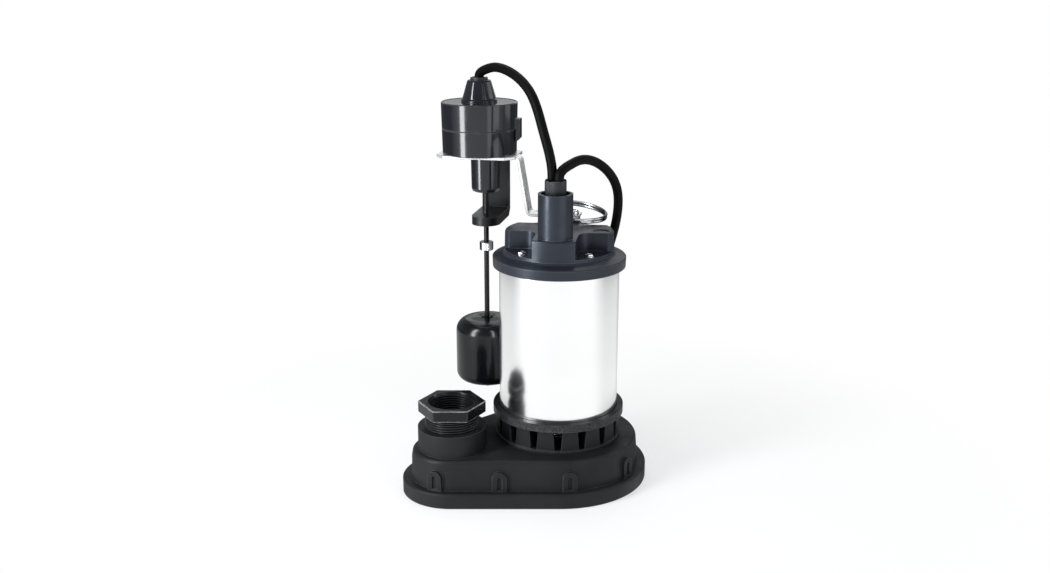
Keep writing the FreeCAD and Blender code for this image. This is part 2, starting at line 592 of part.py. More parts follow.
def lower_motor_housing():
    """Flange, shell groove, spigot, bearing hub and seal nose, turned in one piece."""
    body = turned("housing", [
        ("dims.seat_pocket_radius", "dims.nose_z"),
        ("dims.nose_radius", "dims.nose_z"),
        ("dims.nose_radius + 3", "dims.flange_low_z"),
        ("dims.flange_radius", "dims.flange_low_z"),
        ("dims.flange_radius", "dims.flange_z"),
        ("dims.shell_groove_radius", "dims.flange_z"),
        ("dims.shell_groove_radius", "dims.flange_z - dims.shell_groove_depth"),
        ("dims.spigot_radius", "dims.flange_z - dims.shell_groove_depth"),
        ("dims.spigot_radius", "dims.low_ring_z - dims.ring_groove / 2"),
        ("dims.ring_groove_radius", "dims.low_ring_z - dims.ring_groove / 2"),
        ("dims.ring_groove_radius", "dims.low_ring_z + dims.ring_groove / 2"),
        ("dims.spigot_radius", "dims.low_ring_z + dims.ring_groove / 2"),
        ("dims.spigot_radius", "dims.spigot_z"),
        ("dims.spigot_inner_radius", "dims.spigot_z"),
        ("dims.spigot_inner_radius", "dims.bolt_pad_z"),
        ("dims.bolt_pad_radius", "dims.bolt_pad_z"),
        ("dims.bolt_pad_radius", "dims.housing_floor_z"),
        ("dims.hub_radius", "dims.housing_floor_z"),
        ("dims.hub_radius", "dims.low_bearing_z + dims.bearing_width / 2"),
        ("dims.bearing_radius + dims.fit_gap", "dims.low_bearing_z + dims.bearing_width / 2"),
        ("dims.bearing_radius + dims.fit_gap", "dims.low_bearing_z - dims.bearing_width / 2"),
        ("dims.lip_radius + dims.fit_gap", "dims.low_bearing_z - dims.bearing_width / 2"),
        ("dims.lip_radius + dims.fit_gap", "dims.lip_low_z"),
        ("dims.shaft_radius + dims.shaft_clearance", "dims.lip_low_z"),
        ("dims.shaft_radius + dims.shaft_clearance", "dims.seat_top_z"),
        ("dims.seat_pocket_radius", "dims.seat_top_z")])
    sketch = hole_sketch(body, "housing_taps", "dims.housing_tap_z", HOUSING_SCREW_PLACES,
                         "dims.housing_screw_radius + dims.fit_gap")
    pocket(body, sketch, "dims.housing_tap_z - dims.flange_low_z")
    sketch = hole_sketch(body, "bolt_taps", "dims.bolt_pad_z", BOLT_PLACES,
                         "dims.bolt_radius + dims.fit_gap")
    pocket(body, sketch, "dims.bolt_pad_z - dims.bolt_tap_floor_z")
    subpart("lower_motor_housing", body)
    screws = [screw(f"housing_screw_{index}", spot, "dims.housing_screw_head_radius",
                    "dims.deck_under_z - dims.housing_screw_head", "dims.deck_under_z",
                    "dims.housing_screw_radius", "dims.housing_tap_z - 0.5")
              for index, spot in enumerate(HOUSING_SCREW_PLACES)]
    subpart("housing_screws", group("housing_screw_group", screws))


def motor_shell():
    """Stainless tube with a rubber ring at each end."""
    subpart("motor_shell", turned("shell", ring_section(
        "dims.shell_radius - dims.shell_wall", "dims.shell_radius",
        "dims.flange_z - dims.shell_groove_depth + dims.fit_gap", "dims.shell_top_z")))
    ring_radius = "dims.shell_radius - dims.shell_wall - dims.ring_section - dims.fit_gap"
    subpart("shell_lower_ring", torus("low_ring", ring_radius, "dims.ring_section", "dims.low_ring_z"))
    subpart("shell_upper_ring", torus("high_ring", ring_radius, "dims.ring_section", "dims.high_ring_z"))


# ---- shaft line and motor -------------------------------------------------------------------------

def shaft_seals():
    """Rotating seal head with its spring, the fixed seat, and the lip seal above."""
    gap = "dims.fit_gap"
    subpart("seal_seat", turned("seat", ring_section(
        "dims.shaft_radius + dims.shaft_clearance", f"dims.seat_pocket_radius - {gap}",
        "dims.nose_z + 1", "dims.seat_top_z")))
    subpart("seal_head", turned("head", [
        (f"dims.shaft_radius + {gap}", "dims.seal_head_low_z"),
        ("dims.seal_head_radius - 1.5", "dims.seal_head_low_z"),
        ("dims.seal_head_radius", "dims.seal_head_low_z + 1.5"),
        ("dims.seal_head_radius", "dims.nose_z - 1.2"),
        ("dims.seal_head_radius - 2", "dims.nose_z - 1.2"),
        ("dims.seal_head_radius - 2", "dims.nose_z + 0.9"),
        (f"dims.shaft_radius + {gap}", "dims.nose_z + 0.9")]))
    subpart("lip_seal", turned("lip", ring_section(
        "dims.shaft_radius + 0.05", "dims.lip_radius", f"dims.lip_low_z + {gap}",
        "dims.low_bearing_z - dims.bearing_width / 2 - 0.5")))
    body = new_body("spring")
    sketch = sketch_on(body, "XZ_Plane", "spring_wire")
    circle(sketch, "dims.spring_radius", "dims.hub_top_z + dims.spring_wire + 0.1", "dims.spring_wire")
    doc.recompute()
    coil = body.newObject("PartDesign::AdditiveHelix", "spring_coil")
    coil.Profile = sketch
    coil.ReferenceAxis = (sketch, ["V_Axis"])
    coil.Mode = "pitch-height-angle"
    coil.setExpression("Pitch", "dims.spring_pitch")
    coil.setExpression("Height", "dims.seal_head_low_z - dims.hub_top_z - 2 * dims.spring_wire - 0.2")
    doc.recompute()
    subpart("seal_spring", body)


def bearing(name, height):
    """A deep-groove ball bearing centred at a height: two races and the balls."""
    half = "dims.bearing_width / 2"
    low, high = f"{height} - {half}", f"{height} + {half}"
    pitch = "dims.bearing_pitch_radius"
    races = (("outer_race", "dims.bearing_radius", f"{pitch} + dims.race_offset"),
             ("inner_race", f"{pitch} - dims.race_offset", "dims.shaft_radius + dims.fit_gap"))
    for race, outer, inner in races:
        blank = cylinder(f"{name}_{race}_blank", outer, low, high)
        bore = cylinder(f"{name}_{race}_bore", inner, f"{low} - 1", f"{high} + 1")
        groove = torus(f"{name}_{race}_groove", pitch, "dims.ball_groove_radius", height)
        ring = cut(f"{name}_{race}_ring", blank, bore)
        subpart(f"{name}_{race}", cut(f"{name}_{race}_cut", ring, groove))
    count = round(value("dims.ball_count"))
    spots = [on_circle(pitch, f"{index} * 360 / dims.ball_count") for index in range(count)]
    balls = [sphere(f"{name}_ball_{index}", "dims.ball_radius", *spot, height)
             for index, spot in enumerate(spots)]
    subpart(f"{name}_balls", group(f"{name}_ball_group", balls))


def shaft():
    """Stepped shaft, thicker through the rotor, stepped down for the impeller and its nut."""
    subpart("shaft", turned("motor_shaft", [
        ("0", "dims.shaft_low_z"),
        ("dims.nut_thread_radius", "dims.shaft_low_z"),
        ("dims.nut_thread_radius", "dims.hub_low_z"),
        ("dims.impeller_seat_radius", "dims.hub_low_z"),
        ("dims.impeller_seat_radius", "dims.hub_top_z"),
        ("dims.shaft_radius", "dims.hub_top_z"),
        ("dims.shaft_radius", "dims.low_bearing_z + dims.bearing_width / 2 + 2"),
        ("dims.rotor_seat_radius", "dims.low_bearing_z + dims.bearing_width / 2 + 4"),
        ("dims.rotor_seat_radius", "dims.high_bearing_z - dims.bearing_width / 2 - 8"),
        ("dims.shaft_radius", "dims.high_bearing_z - dims.bearing_width / 2 - 6"),
        ("dims.shaft_radius", "dims.shaft_top_z"),
        ("0", "dims.shaft_top_z")]))


def rotor():
    """Laminated rotor core with a cast cage through it."""
    count = round(value("dims.cage_bar_count"))
    spots = [on_circle("dims.cage_circle", f"{index} * 360 / dims.cage_bar_count") for index in range(count)]
    body = turned("rotor_stack", ring_section(
        "dims.rotor_seat_radius + dims.fit_gap", "dims.rotor_radius", "dims.stack_low_z", "dims.stack_z"))
    sketch = hole_sketch(body, "rotor_holes", "dims.stack_z", spots, "dims.cage_bar_radius + dims.fit_gap")
    pocket(body, sketch, "dims.stack_z - dims.stack_low_z")
    subpart("rotor_core", body)
    body = turned("cage_low", ring_section(
        "dims.cage_inner_radius", "dims.rotor_radius - 1",
        "dims.stack_low_z - dims.cage_end", "dims.stack_low_z - dims.fit_gap"))
    sketch = hole_sketch(body, "cage_bars", "dims.stack_low_z - 1", spots, "dims.cage_bar_radius")
    pad(body, sketch, "dims.stack_z - dims.stack_low_z + 2")
    top = turned("cage_high", ring_section(
        "dims.cage_inner_radius", "dims.rotor_radius - 1",
        "dims.stack_z + dims.fit_gap", "dims.stack_z + dims.cage_end"))
    subpart("rotor_cage", fuse("cage_whole", [body, top]))


def stator():
    """Laminated stator with round winding slots, and the windings that run through them."""
    count = round(value("dims.stator_slot_count"))
    spots = [on_circle("dims.stator_slot_circle", f"{index} * 360 / dims.stator_slot_count")
             for index in range(count)]
    body = turned("stator_stack", ring_section(
        "dims.stator_bore", "dims.stator_radius", "dims.stack_low_z", "dims.stack_z"))
    sketch = hole_sketch(body, "stator_slots", "dims.stack_z", spots, "dims.stator_slot_radius")
    pocket(body, sketch, "dims.stack_z - dims.stack_low_z")
    sketch = hole_sketch(body, "stator_bolt_holes", "dims.stack_z", BOLT_PLACES, "dims.bolt_hole_radius")
    pocket(body, sketch, "dims.stack_z - dims.stack_low_z")
    subpart("stator_core", body)
    inner = "dims.stator_slot_circle - dims.winding_half"
    outer = "dims.stator_slot_circle + dims.winding_half"
    body = turned("winding_low", [
        (inner, "dims.stack_low_z - 0.2"), (inner, "dims.stack_low_z - dims.winding_end + 2"),
        (f"{inner} + 2", "dims.stack_low_z - dims.winding_end"),
        (f"{outer} - 2", "dims.stack_low_z - dims.winding_end"),
        (outer, "dims.stack_low_z - dims.winding_end + 2"), (outer, "dims.stack_low_z - 0.2")])
    sketch = hole_sketch(body, "winding_bars", "dims.stack_low_z - 1", spots,
                         "dims.stator_slot_radius - 0.1")
    pad(body, sketch, "dims.stack_z - dims.stack_low_z + 2")
    top = turned("winding_high", [
        (inner, "dims.stack_z + 0.2"), (inner, "dims.stack_z + dims.winding_end - 2"),
        (f"{inner} + 2", "dims.stack_z + dims.winding_end"),
        (f"{outer} - 2", "dims.stack_z + dims.winding_end"),
        (outer, "dims.stack_z + dims.winding_end - 2"), (outer, "dims.stack_z + 0.2")])
    subpart("stator_windings", fuse("windings_whole", [body, top]))


def upper_bearing_bracket():
    """Disc inside the shell that centres the upper bearing."""
    pocket_low, hub_top = "dims.high_bearing_z - dims.bearing_width / 2", "dims.bracket_top_z - 0.3"
    body = turned("upper_bracket", [
        ("dims.shaft_radius + dims.shaft_clearance", "dims.bracket_low_z"),
        ("dims.bracket_disc_radius", "dims.bracket_low_z"),
        ("dims.bracket_disc_radius", "dims.bracket_top_z"),
        ("dims.bracket_web_radius", "dims.bracket_top_z"),
        ("dims.bracket_web_radius", "dims.bracket_low_z + dims.bracket_web"),
        ("dims.hub_radius", "dims.bracket_low_z + dims.bracket_web"),
        ("dims.hub_radius", hub_top),
        ("dims.bearing_radius + dims.fit_gap", hub_top),
        ("dims.bearing_radius + dims.fit_gap", pocket_low),
        ("dims.shaft_radius + dims.shaft_clearance", pocket_low)])
    sketch = hole_sketch(body, "bracket_bolt_holes", "dims.bracket_low_z + dims.bracket_web", BOLT_PLACES,
                         "dims.bolt_hole_radius")
    pocket(body, sketch, "dims.bracket_web")
    subpart("upper_bearing_bracket", body)


def motor_parts():
    """Run capacitor under the dome and the thermal protector on the upper windings."""
    subpart("run_capacitor", turned("capacitor", [
        ("0", "dims.capacitor_low_z"), ("dims.capacitor_radius - 1", "dims.capacitor_low_z"),
        ("dims.capacitor_radius", "dims.capacitor_low_z + 1"),
        ("dims.capacitor_radius", "dims.cap_roof_z - 1"),
        ("dims.capacitor_radius - 1", "dims.cap_roof_z"), ("0", "dims.cap_roof_z")]))
    protector = box("protector", "dims.protector_length", "dims.protector_width", "dims.protector_tall",
                    "dims.stator_slot_circle - dims.winding_half", "-dims.protector_width / 2",
                    "dims.stack_z + dims.winding_end")
    rounded_protector = doc.addObject("Part::Fillet", "protector_round")
    rounded_protector.Base = protector
    doc.recompute()
    upright = [(index, 1.5, 1.5) for index, edge in enumerate(protector.Shape.Edges, start=1)
               if edge.BoundBox.ZLength > 1]
    rounded_protector.Edges = upright
    subpart("thermal_protector", rounded_protector)


def impeller():
    """Open impeller with swept vanes, and the nut that holds it."""
    body = turned("impeller_web", [
        ("dims.impeller_seat_radius + dims.fit_gap", "dims.hub_low_z"),
        ("dims.impeller_hub_radius", "dims.hub_low_z"),
        ("dims.impeller_hub_radius", "dims.impeller_low_z"),
        ("dims.impeller_radius", "dims.impeller_low_z"),
        ("dims.impeller_radius", "dims.impeller_low_z + dims.impeller_web"),
        ("dims.impeller_hub_radius", "dims.impeller_low_z + dims.impeller_web + 1"),
        ("dims.impeller_hub_radius - 1.5", "dims.hub_top_z"),
        ("dims.impeller_seat_radius + dims.fit_gap", "dims.hub_top_z")])
    sketch = sketch_on(body, "XY_Plane", "vane", "dims.impeller_low_z + dims.impeller_web / 2")
    steps = 5
    inner, outer = "(dims.impeller_hub_radius - 1.2)", "(dims.impeller_radius - 0.5)"
    sides = []
    for side in (1, -1):
        edge = []
        for step in range(steps + 1):
            radius = f"({inner} + ({outer} - {inner}) * {step} / {steps})"
            swept = f"-dims.vane_sweep * {step} / {steps} * 1 deg"
            lean = f"({swept} + {side} * asin(dims.vane_thickness / 2 / {radius}))"
            edge.append(on_circle(radius, lean))
        sides.append(edge)
    outline(sketch, sides[0] + sides[1][::-1])
    vane = pad(body, sketch, "dims.vane_z - dims.impeller_low_z - dims.impeller_web / 2")
    polar(body, vane, "dims.vane_count")
    subpart("impeller", body)
    nut = hexagon("nut_blank", "dims.nut_flats", "dims.shaft_low_z + 0.4", "dims.hub_low_z")
    bore = cylinder("nut_bore", "dims.nut_thread_radius + dims.fit_gap", "dims.shaft_low_z",
                    "dims.hub_low_z + 1")
    subpart("impeller_nut", cut("nut_cut", nut, bore))


# ---- top cap --------------------------------------------------------------------------------------

def ring_axis():
    """The carry ring's centre, the normal of its plane, the eye in its wire and its hinge direction."""
    centre = FreeCAD.Vector(value("dims.ring_x"), value("dims.ring_y"), value("dims.ring_z"))
    slope_x, slope_y = value("dims.ring_slope_x"), value("dims.ring_slope_y")
    normal = FreeCAD.Vector(-slope_x, -slope_y, 1).normalize()
    bearing_angle = math.radians(value("dims.ring_eye_angle"))
    level = FreeCAD.Vector(math.cos(bearing_angle), math.sin(bearing_angle), 0)
    outward = (level - normal * level.dot(normal)).normalize()
    return centre, normal, centre + outward * value("dims.ring_radius"), outward.cross(normal)


def top_cap():
    """Rim, domed body with four bolt pockets, cord tower, bracket saddle and the lug of the carry ring."""
    body = turned("cap", [
        ("0", "dims.dome_z"),
        ("dims.dome_radius - 0.5", "dims.dome_z"),
        ("dims.dome_radius", "dims.dome_foot_z + 1.5"),
        ("dims.dome_radius + 1.6", "dims.dome_foot_z"),
        ("dims.cap_rim_radius - 0.8", "dims.cap_shoulder_z + 0.5"),
        ("dims.cap_rim_radius", "dims.cap_shoulder_z - 0.3"),
        ("dims.cap_rim_radius - 0.3", "dims.cap_rim_z"),
        ("dims.shell_groove_radius", "dims.cap_rim_z"),
        ("dims.shell_groove_radius", "dims.shell_top_z + 0.2"),
        ("dims.spigot_radius", "dims.shell_top_z + 0.2"),
        ("dims.spigot_radius", "dims.high_ring_z + dims.ring_groove / 2"),
        ("dims.ring_groove_radius", "dims.high_ring_z + dims.ring_groove / 2"),
        ("dims.ring_groove_radius", "dims.high_ring_z - dims.ring_groove / 2"),
        ("dims.spigot_radius", "dims.high_ring_z - dims.ring_groove / 2"),
        ("dims.spigot_radius", "dims.bracket_top_z"),
        ("dims.spigot_inner_radius", "dims.bracket_top_z"),
        ("dims.spigot_inner_radius", "dims.cap_floor_z"),
        ("dims.cap_well_radius", "dims.cap_floor_z"),
        ("dims.cap_well_radius", "dims.cap_roof_z"),
        ("0", "dims.cap_roof_z")])
    rounded(body, body.Tip, "dims.dome_round", level_edge(value("dims.dome_z")))
    sketch = sketch_on(body, "XY_Plane", "pockets", "dims.dome_z + 1")
    far = "dims.cap_rim_radius"
    for side in ("", "-"):
        outline(sketch, [
            (f"{side}dims.block_half_width", "-dims.wing_front"),
            (f"{side}dims.wing_flat", "-dims.wing_front"),
            (f"{side}{far}", f"{far} - dims.wing_flat - dims.wing_front"),
            (f"{side}{far}", f"-{far}"),
            (f"{side}dims.block_half_width", f"-{far}")])
        outline(sketch, [
            (f"{side}dims.block_half_width", "dims.wing_back"),
            (f"{side}{far}", "dims.wing_back"),
            (f"{side}{far}", far),
            (f"{side}dims.block_half_width", far)])
    notch = pocket(body, sketch, "dims.dome_z + 1 - dims.pocket_floor_z")
    corners = [(value("dims.block_half_width"), value(wall)) for wall in ("-dims.wing_front", "dims.wing_back")]
    rounded(body, notch, "dims.pocket_corner_radius",
            lambda edge: edge.BoundBox.ZLength > 5 and edge.BoundBox.XLength < NEAR
            and any(abs(abs(edge.BoundBox.XMin) - across) < NEAR and abs(edge.BoundBox.YMin - wall) < NEAR
                    for across, wall in corners))
    sketch = hole_sketch(body, "wing_recess", "dims.dome_z", [("dims.cap_recess_x", "dims.cap_recess_y")],
                         "dims.cap_recess_radius")
    pocket(body, sketch, "dims.cap_recess_depth")
    tower_spot = [("0", "-dims.tower_offset")]
    sketch = hole_sketch(body, "tower", "dims.cap_roof_z + 1", tower_spot, "dims.tower_radius")
    pad(body, sketch, "dims.tower_z - dims.cap_roof_z - 1")
    for name, top, floor, radius in (
            ("tower_recess", "dims.tower_z", "dims.tower_bore_floor_z", "dims.tower_bore_radius"),
            ("gland_bore", "dims.tower_bore_floor_z", "dims.gland_nut_low_z - 0.1",
             "dims.gland_bore_radius"),
            ("grommet_bore", "dims.gland_nut_low_z - 0.1", "dims.grommet_low_z", "dims.grommet_radius"),
            ("wire_bore", "dims.grommet_low_z", "dims.cap_floor_z", "dims.grommet_radius - 0.35")):
        sketch = hole_sketch(body, name, top, tower_spot, radius)
        pocket(body, sketch, f"{top} - ({floor})")
    quarters = [on_circle("dims.bolt_circle", str(quarter)) for quarter in (45, 135, 225, 315)]
    sketch = hole_sketch(body, "cap_bolt_holes", "dims.pocket_floor_z", quarters, "dims.bolt_hole_radius")
    pocket(body, sketch, "dims.pocket_floor_z - dims.cap_floor_z")
    place(body, "0", "0", "0", "dims.cap_angle")

    saddle = box("saddle", "dims.saddle_right - dims.saddle_left", "dims.saddle_back - dims.saddle_front",
                 "dims.foot_z - dims.dome_z + 3",
                 *in_cap_frame("dims.saddle_left", "dims.saddle_front"), "dims.dome_z - 3")
    place(saddle, turn="dims.cap_angle")
    centre, normal, eye, hinge = ring_axis()
    lug = cylinder("lug_disc", "dims.lug_radius", "0", "dims.lug_thickness")
    across = FreeCAD.Rotation(FreeCAD.Vector(0, 0, 1), hinge)
    lug.Placement = FreeCAD.Placement(eye - hinge * value("dims.lug_thickness / 2"), across)
    neck = box("lug_neck", "dims.lug_neck_width", "dims.lug_thickness", "dims.lug_neck_tall", "0", "0", "0")
    level_turn = math.degrees(math.atan2(hinge.y, hinge.x)) - 90
    neck_turn = FreeCAD.Rotation(FreeCAD.Vector(0, 0, 1), level_turn)
    half = FreeCAD.Vector(value("dims.lug_neck_width / 2"), value("dims.lug_thickness / 2"), 0)
    foot = FreeCAD.Vector(eye.x, eye.y, value("dims.dome_z - 3"))
    neck.Placement = FreeCAD.Placement(foot - neck_turn.multVec(half), neck_turn)
    hole = cylinder("lug_hole_tool", "dims.lug_hole", "0", "dims.lug_thickness + 4")
    hole.Placement = FreeCAD.Placement(eye - hinge * value("dims.lug_thickness / 2 + 2"), across)
    whole = fuse("cap_whole", [body, saddle, lug, neck])
    taps = [cylinder(f"saddle_tap_{index}", "dims.bracket_screw_radius + dims.fit_gap",
                     "dims.foot_z - dims.bracket_screw_depth - 0.5", "dims.foot_z + 1", *spot)
            for index, spot in enumerate(bracket_screw_places())]
    subpart("top_cap", cut("cap_cut", whole, group("cap_tools", [hole] + taps)))


def tie_bolts():
    """Four long bolts from the cap's pockets to the lower housing."""
    bolts = [screw(f"tie_bolt_{index}", spot, "dims.bolt_head_radius", "dims.pocket_floor_z",
                   "dims.pocket_floor_z + dims.bolt_head", "dims.bolt_radius", "dims.bolt_tap_floor_z + 0.5")
             for index, spot in enumerate(BOLT_PLACES)]
    subpart("tie_bolts", group("tie_bolt_group", bolts))


# ---- cords and plug -------------------------------------------------------------------------------

def cord_spot(side):
    """Row X and Y of a cord inside the tower; side is 1 for the switch cord and -1 for the power cord."""
    tower_x, tower_y = in_cap_frame("0", "-dims.tower_offset")
    across, back = on_circle(f"{side} * dims.cord_spread", "dims.cord_spread_angle")
    return f"{tower_x} + {across}", f"{tower_y} + {back}"


def cord_gland():
    """Ribbed nut and rubber grommet that hold both cords in the tower."""
    tower = in_cap_frame("0", "-dims.tower_offset")
    nut = cylinder("gland_nut_blank", "dims.gland_nut_radius", "dims.gland_nut_low_z", "dims.gland_nut_z")
    bore = cylinder("gland_nut_hollow", "dims.gland_nut_bore", "dims.gland_nut_low_z - 1",
                    "dims.gland_nut_z + 1")
    nut_cut = cut("gland_nut_cut", nut, bore)
    place(nut_cut, *tower)
    subpart("cord_gland_nut", nut_cut)
    plug = cylinder("grommet_blank", "dims.grommet_radius - dims.fit_gap", "dims.grommet_low_z",
                    "dims.gland_nut_low_z - 0.2", *tower)
    holes = [cylinder(f"grommet_hole_{side}", "dims.cord_radius + dims.fit_gap", "dims.grommet_low_z - 1",
                      "dims.gland_nut_low_z + 1", *cord_spot(side)) for side in (1, -1)]
    subpart("cord_grommet", cut("grommet_cut", plug, group("grommet_holes", holes)))


def cord(name, start, route, end, end_straight):
    """A round cord: straight up from start, through the route, then straight down into end."""
    foot = FreeCAD.Vector(*start, value("dims.cord_start_z"))
    leave = FreeCAD.Vector(*start, value("dims.gland_nut_z") + 2)
    points = [leave] + route + [end]
    reached = [0.0]
    for first, second in zip(points, points[1:]):
        reached.append(reached[-1] + first.distanceToPoint(second))
    bend = Part.BSplineCurve()
    bend.interpolate(Points=points, Parameters=reached, InitialTangent=FreeCAD.Vector(0, 0, 1),
                     FinalTangent=FreeCAD.Vector(0, 0, -1), Scale=False)
    last = end - FreeCAD.Vector(0, 0, end_straight)
    path = Part.Wire([Part.LineSegment(foot, leave).toShape(), bend.toShape(),
                      Part.LineSegment(end, last).toShape()])
    ring = Part.Wire(Part.Circle(foot, FreeCAD.Vector(0, 0, 1), value("dims.cord_radius")).toShape())
    feature = doc.addObject("Part::Feature", name + "_run")
    feature.Shape = path.makePipeShell([ring], True, False)
    subpart(name, feature)


def route_points(name):
    """The points of a cord's route, read from the sheet."""
    return [FreeCAD.Vector(*(value(f"dims.{name}_{index}_{axis}") for axis in "xyz"))
            for index in range(len(CORD_ROUTES[name]))]


def cords():
    """The switch cord over to the switch, and the power cord down behind the shell to its plug."""
    starts = {side: [value(expression) for expression in cord_spot(side)] for side in (1, -1)}
    case = [value(expression) for expression in in_switch_frame("dims.case_along", "dims.case_across")]
    cord("switch_cord", starts[1], route_points("switch"),
         FreeCAD.Vector(*case, value("dims.collar_nut_z")),
         value("dims.collar_nut_z - dims.case_z + dims.cord_into_switch"))
    cord("power_cord", starts[-1], route_points("power"),
         FreeCAD.Vector(value("dims.plug_x"), value("dims.plug_y"), value("dims.plug_z") + 1), 1)


def plug():
    """Moulded plug with two flat blades and a round ground pin."""
    body = new_body("plug")
    sketch = sketch_on(body, "XY_Plane", "plug_outline", "dims.plug_low_z")
    wide, deep = "dims.plug_width / 2", "dims.plug_depth / 2"
    outline(sketch, [(f"-{wide}", f"-{deep}"), (wide, f"-{deep}"), (wide, deep), (f"-{wide}", deep)])
    block = pad(body, sketch, "dims.plug_z - dims.plug_low_z")
    upright = rounded(body, block, "dims.plug_round", lambda edge: edge.BoundBox.ZLength > 5)
    rounded(body, upright, "dims.plug_round / 2", level_edge(value("dims.plug_z")))
    place(body, "dims.plug_x", "dims.plug_y", "0", "dims.plug_turn")
    subpart("plug_body", body)
    low, foot = "dims.plug_low_z - dims.blade_length", "dims.blade_length"
    blades = [box(f"blade_{side}", "dims.blade_thickness", "dims.blade_width", foot,
                  f"{side} * dims.blade_gap / 2 - dims.blade_thickness / 2", "-dims.blade_width", low)
              for side in (1, -1)]
    blades.append(cylinder("ground_pin", "dims.ground_pin_radius", low, "dims.plug_low_z",
                           "0", "dims.ground_offset"))
    whole = group("blade_group", blades)
    place(whole, "dims.plug_x", "dims.plug_y", "0", "dims.plug_turn")
    subpart("plug_blades", whole)


# ---- switch, bracket and guide --------------------------------------------------------------------

def bracket_screw_places():
    """Row X and Y of the two screws that hold the bracket's foot."""
    return [in_switch_frame(f"dims.bracket_screw_{which}", "dims.bracket_screw_across")
            for which in ("one", "two")]


def mount_screw_places():
    """Row X and Y of the two screws under the switch."""
    return [in_switch_frame(f"dims.case_along {sign} dims.mount_screw_reach", "dims.case_across")
            for sign in ("+", "-")]


def switch_bracket():
    """Bent stainless strip: a foot on the cap, a leaning arm and a wide plate under the switch."""
    body = new_body("bracket")
    plate_low = "(dims.case_low_z - dims.sheet_thickness)"
    foot_top = "(dims.foot_z + dims.sheet_thickness)"
    slope = f"((dims.arm_top_along - dims.arm_foot_along) / (dims.case_low_z - {foot_top}))"
    level_thickness = f"(dims.sheet_thickness * sqrt(1 + {slope} ^ 2))"
    plate_end = "dims.case_along - dims.plate_half_length + 12"
    sketch = sketch_on(body, "XZ_Plane", "arm_side", "dims.arm_across - dims.arm_width / 2")
    outline(sketch, [
        (plate_end, "dims.case_low_z"),
        ("dims.arm_top_along", "dims.case_low_z"),
        ("dims.arm_foot_along", foot_top),
        ("dims.foot_end_along", foot_top),
        ("dims.foot_end_along", "dims.foot_z"),
        (f"dims.arm_foot_along - {slope} * dims.sheet_thickness + {level_thickness}", "dims.foot_z"),
        (f"dims.arm_top_along - {slope} * dims.sheet_thickness + {level_thickness}", plate_low),
        (plate_end, plate_low)])
    arm = pad(body, sketch, "dims.arm_width")
    wide = value("dims.arm_width")

    def bend(height, along):
        return lambda edge: (edge.BoundBox.YLength > wide - 1 and abs(edge.BoundBox.ZMin - height) < NEAR
                             and abs(edge.BoundBox.XMin - along) < 4)
    top_along, foot_along = value("dims.arm_top_along"), value("dims.arm_foot_along")
    for radius, height, along in (
            ("dims.bend_radius + dims.sheet_thickness", value("dims.case_low_z"), top_along),
            ("dims.bend_radius", value(plate_low), top_along + 2),
            ("dims.bend_radius", value(foot_top), foot_along),
            ("dims.bend_radius + dims.sheet_thickness", value("dims.foot_z"), foot_along + 2)):
        arm = rounded(body, arm, radius, bend(height, along))
    sketch = sketch_on(body, "XY_Plane", "switch_plate", plate_low)
    low_x, high_x = "dims.case_along - dims.plate_half_length", "dims.case_along + dims.plate_half_length"
    low_y, high_y = "-dims.case_across - dims.plate_half_width", "-dims.case_across + dims.plate_half_width"
    corner = "dims.plate_corner"
    outline(sketch, [
        (low_x, f"{low_y} + {corner}"), (f"{low_x} + {corner}", low_y), (f"{high_x} - {corner}", low_y),
        (high_x, f"{low_y} + {corner}"), (high_x, f"{high_y} - {corner}"), (f"{high_x} - {corner}", high_y),
        (f"{low_x} + {corner}", high_y), (low_x, f"{high_y} - {corner}")])
    pad(body, sketch, "dims.sheet_thickness")
    sketch = sketch_on(body, "XY_Plane", "plate_holes", "dims.case_low_z")
    circle(sketch, "dims.rod_along", "-dims.rod_across", "dims.neck_radius + 0.2")
    for sign in ("+", "-"):
        circle(sketch, f"dims.case_along {sign} dims.mount_screw_reach", "-dims.case_across",
               "dims.mount_screw_radius + 0.1")
    pocket(body, sketch, "dims.sheet_thickness")
    sketch = sketch_on(body, "XY_Plane", "foot_holes", foot_top)
    for which in ("one", "two"):
        circle(sketch, f"dims.bracket_screw_{which}", "-dims.bracket_screw_across",
               "dims.bracket_hole_radius")
    pocket(body, sketch, "dims.sheet_thickness")
    subpart("switch_bracket", place(body, turn="dims.switch_angle"))
    head = "dims.foot_z + dims.sheet_thickness"
    screws = [screw(f"bracket_screw_{index}", spot, "dims.bracket_head_radius", head,
                    f"{head} + dims.bracket_head", "dims.bracket_screw_radius",
                    "dims.foot_z - dims.bracket_screw_depth")
              for index, spot in enumerate(bracket_screw_places())]
    subpart("bracket_screws", group("bracket_screw_group", screws))
    screws = [screw(f"mount_screw_{index}", spot, "dims.mount_head_radius", f"{plate_low} - dims.mount_head",
                    plate_low, "dims.mount_screw_radius", "dims.case_low_z + 6")
              for index, spot in enumerate(mount_screw_places())]
    subpart("switch_mount_screws", group("mount_screw_group", screws))


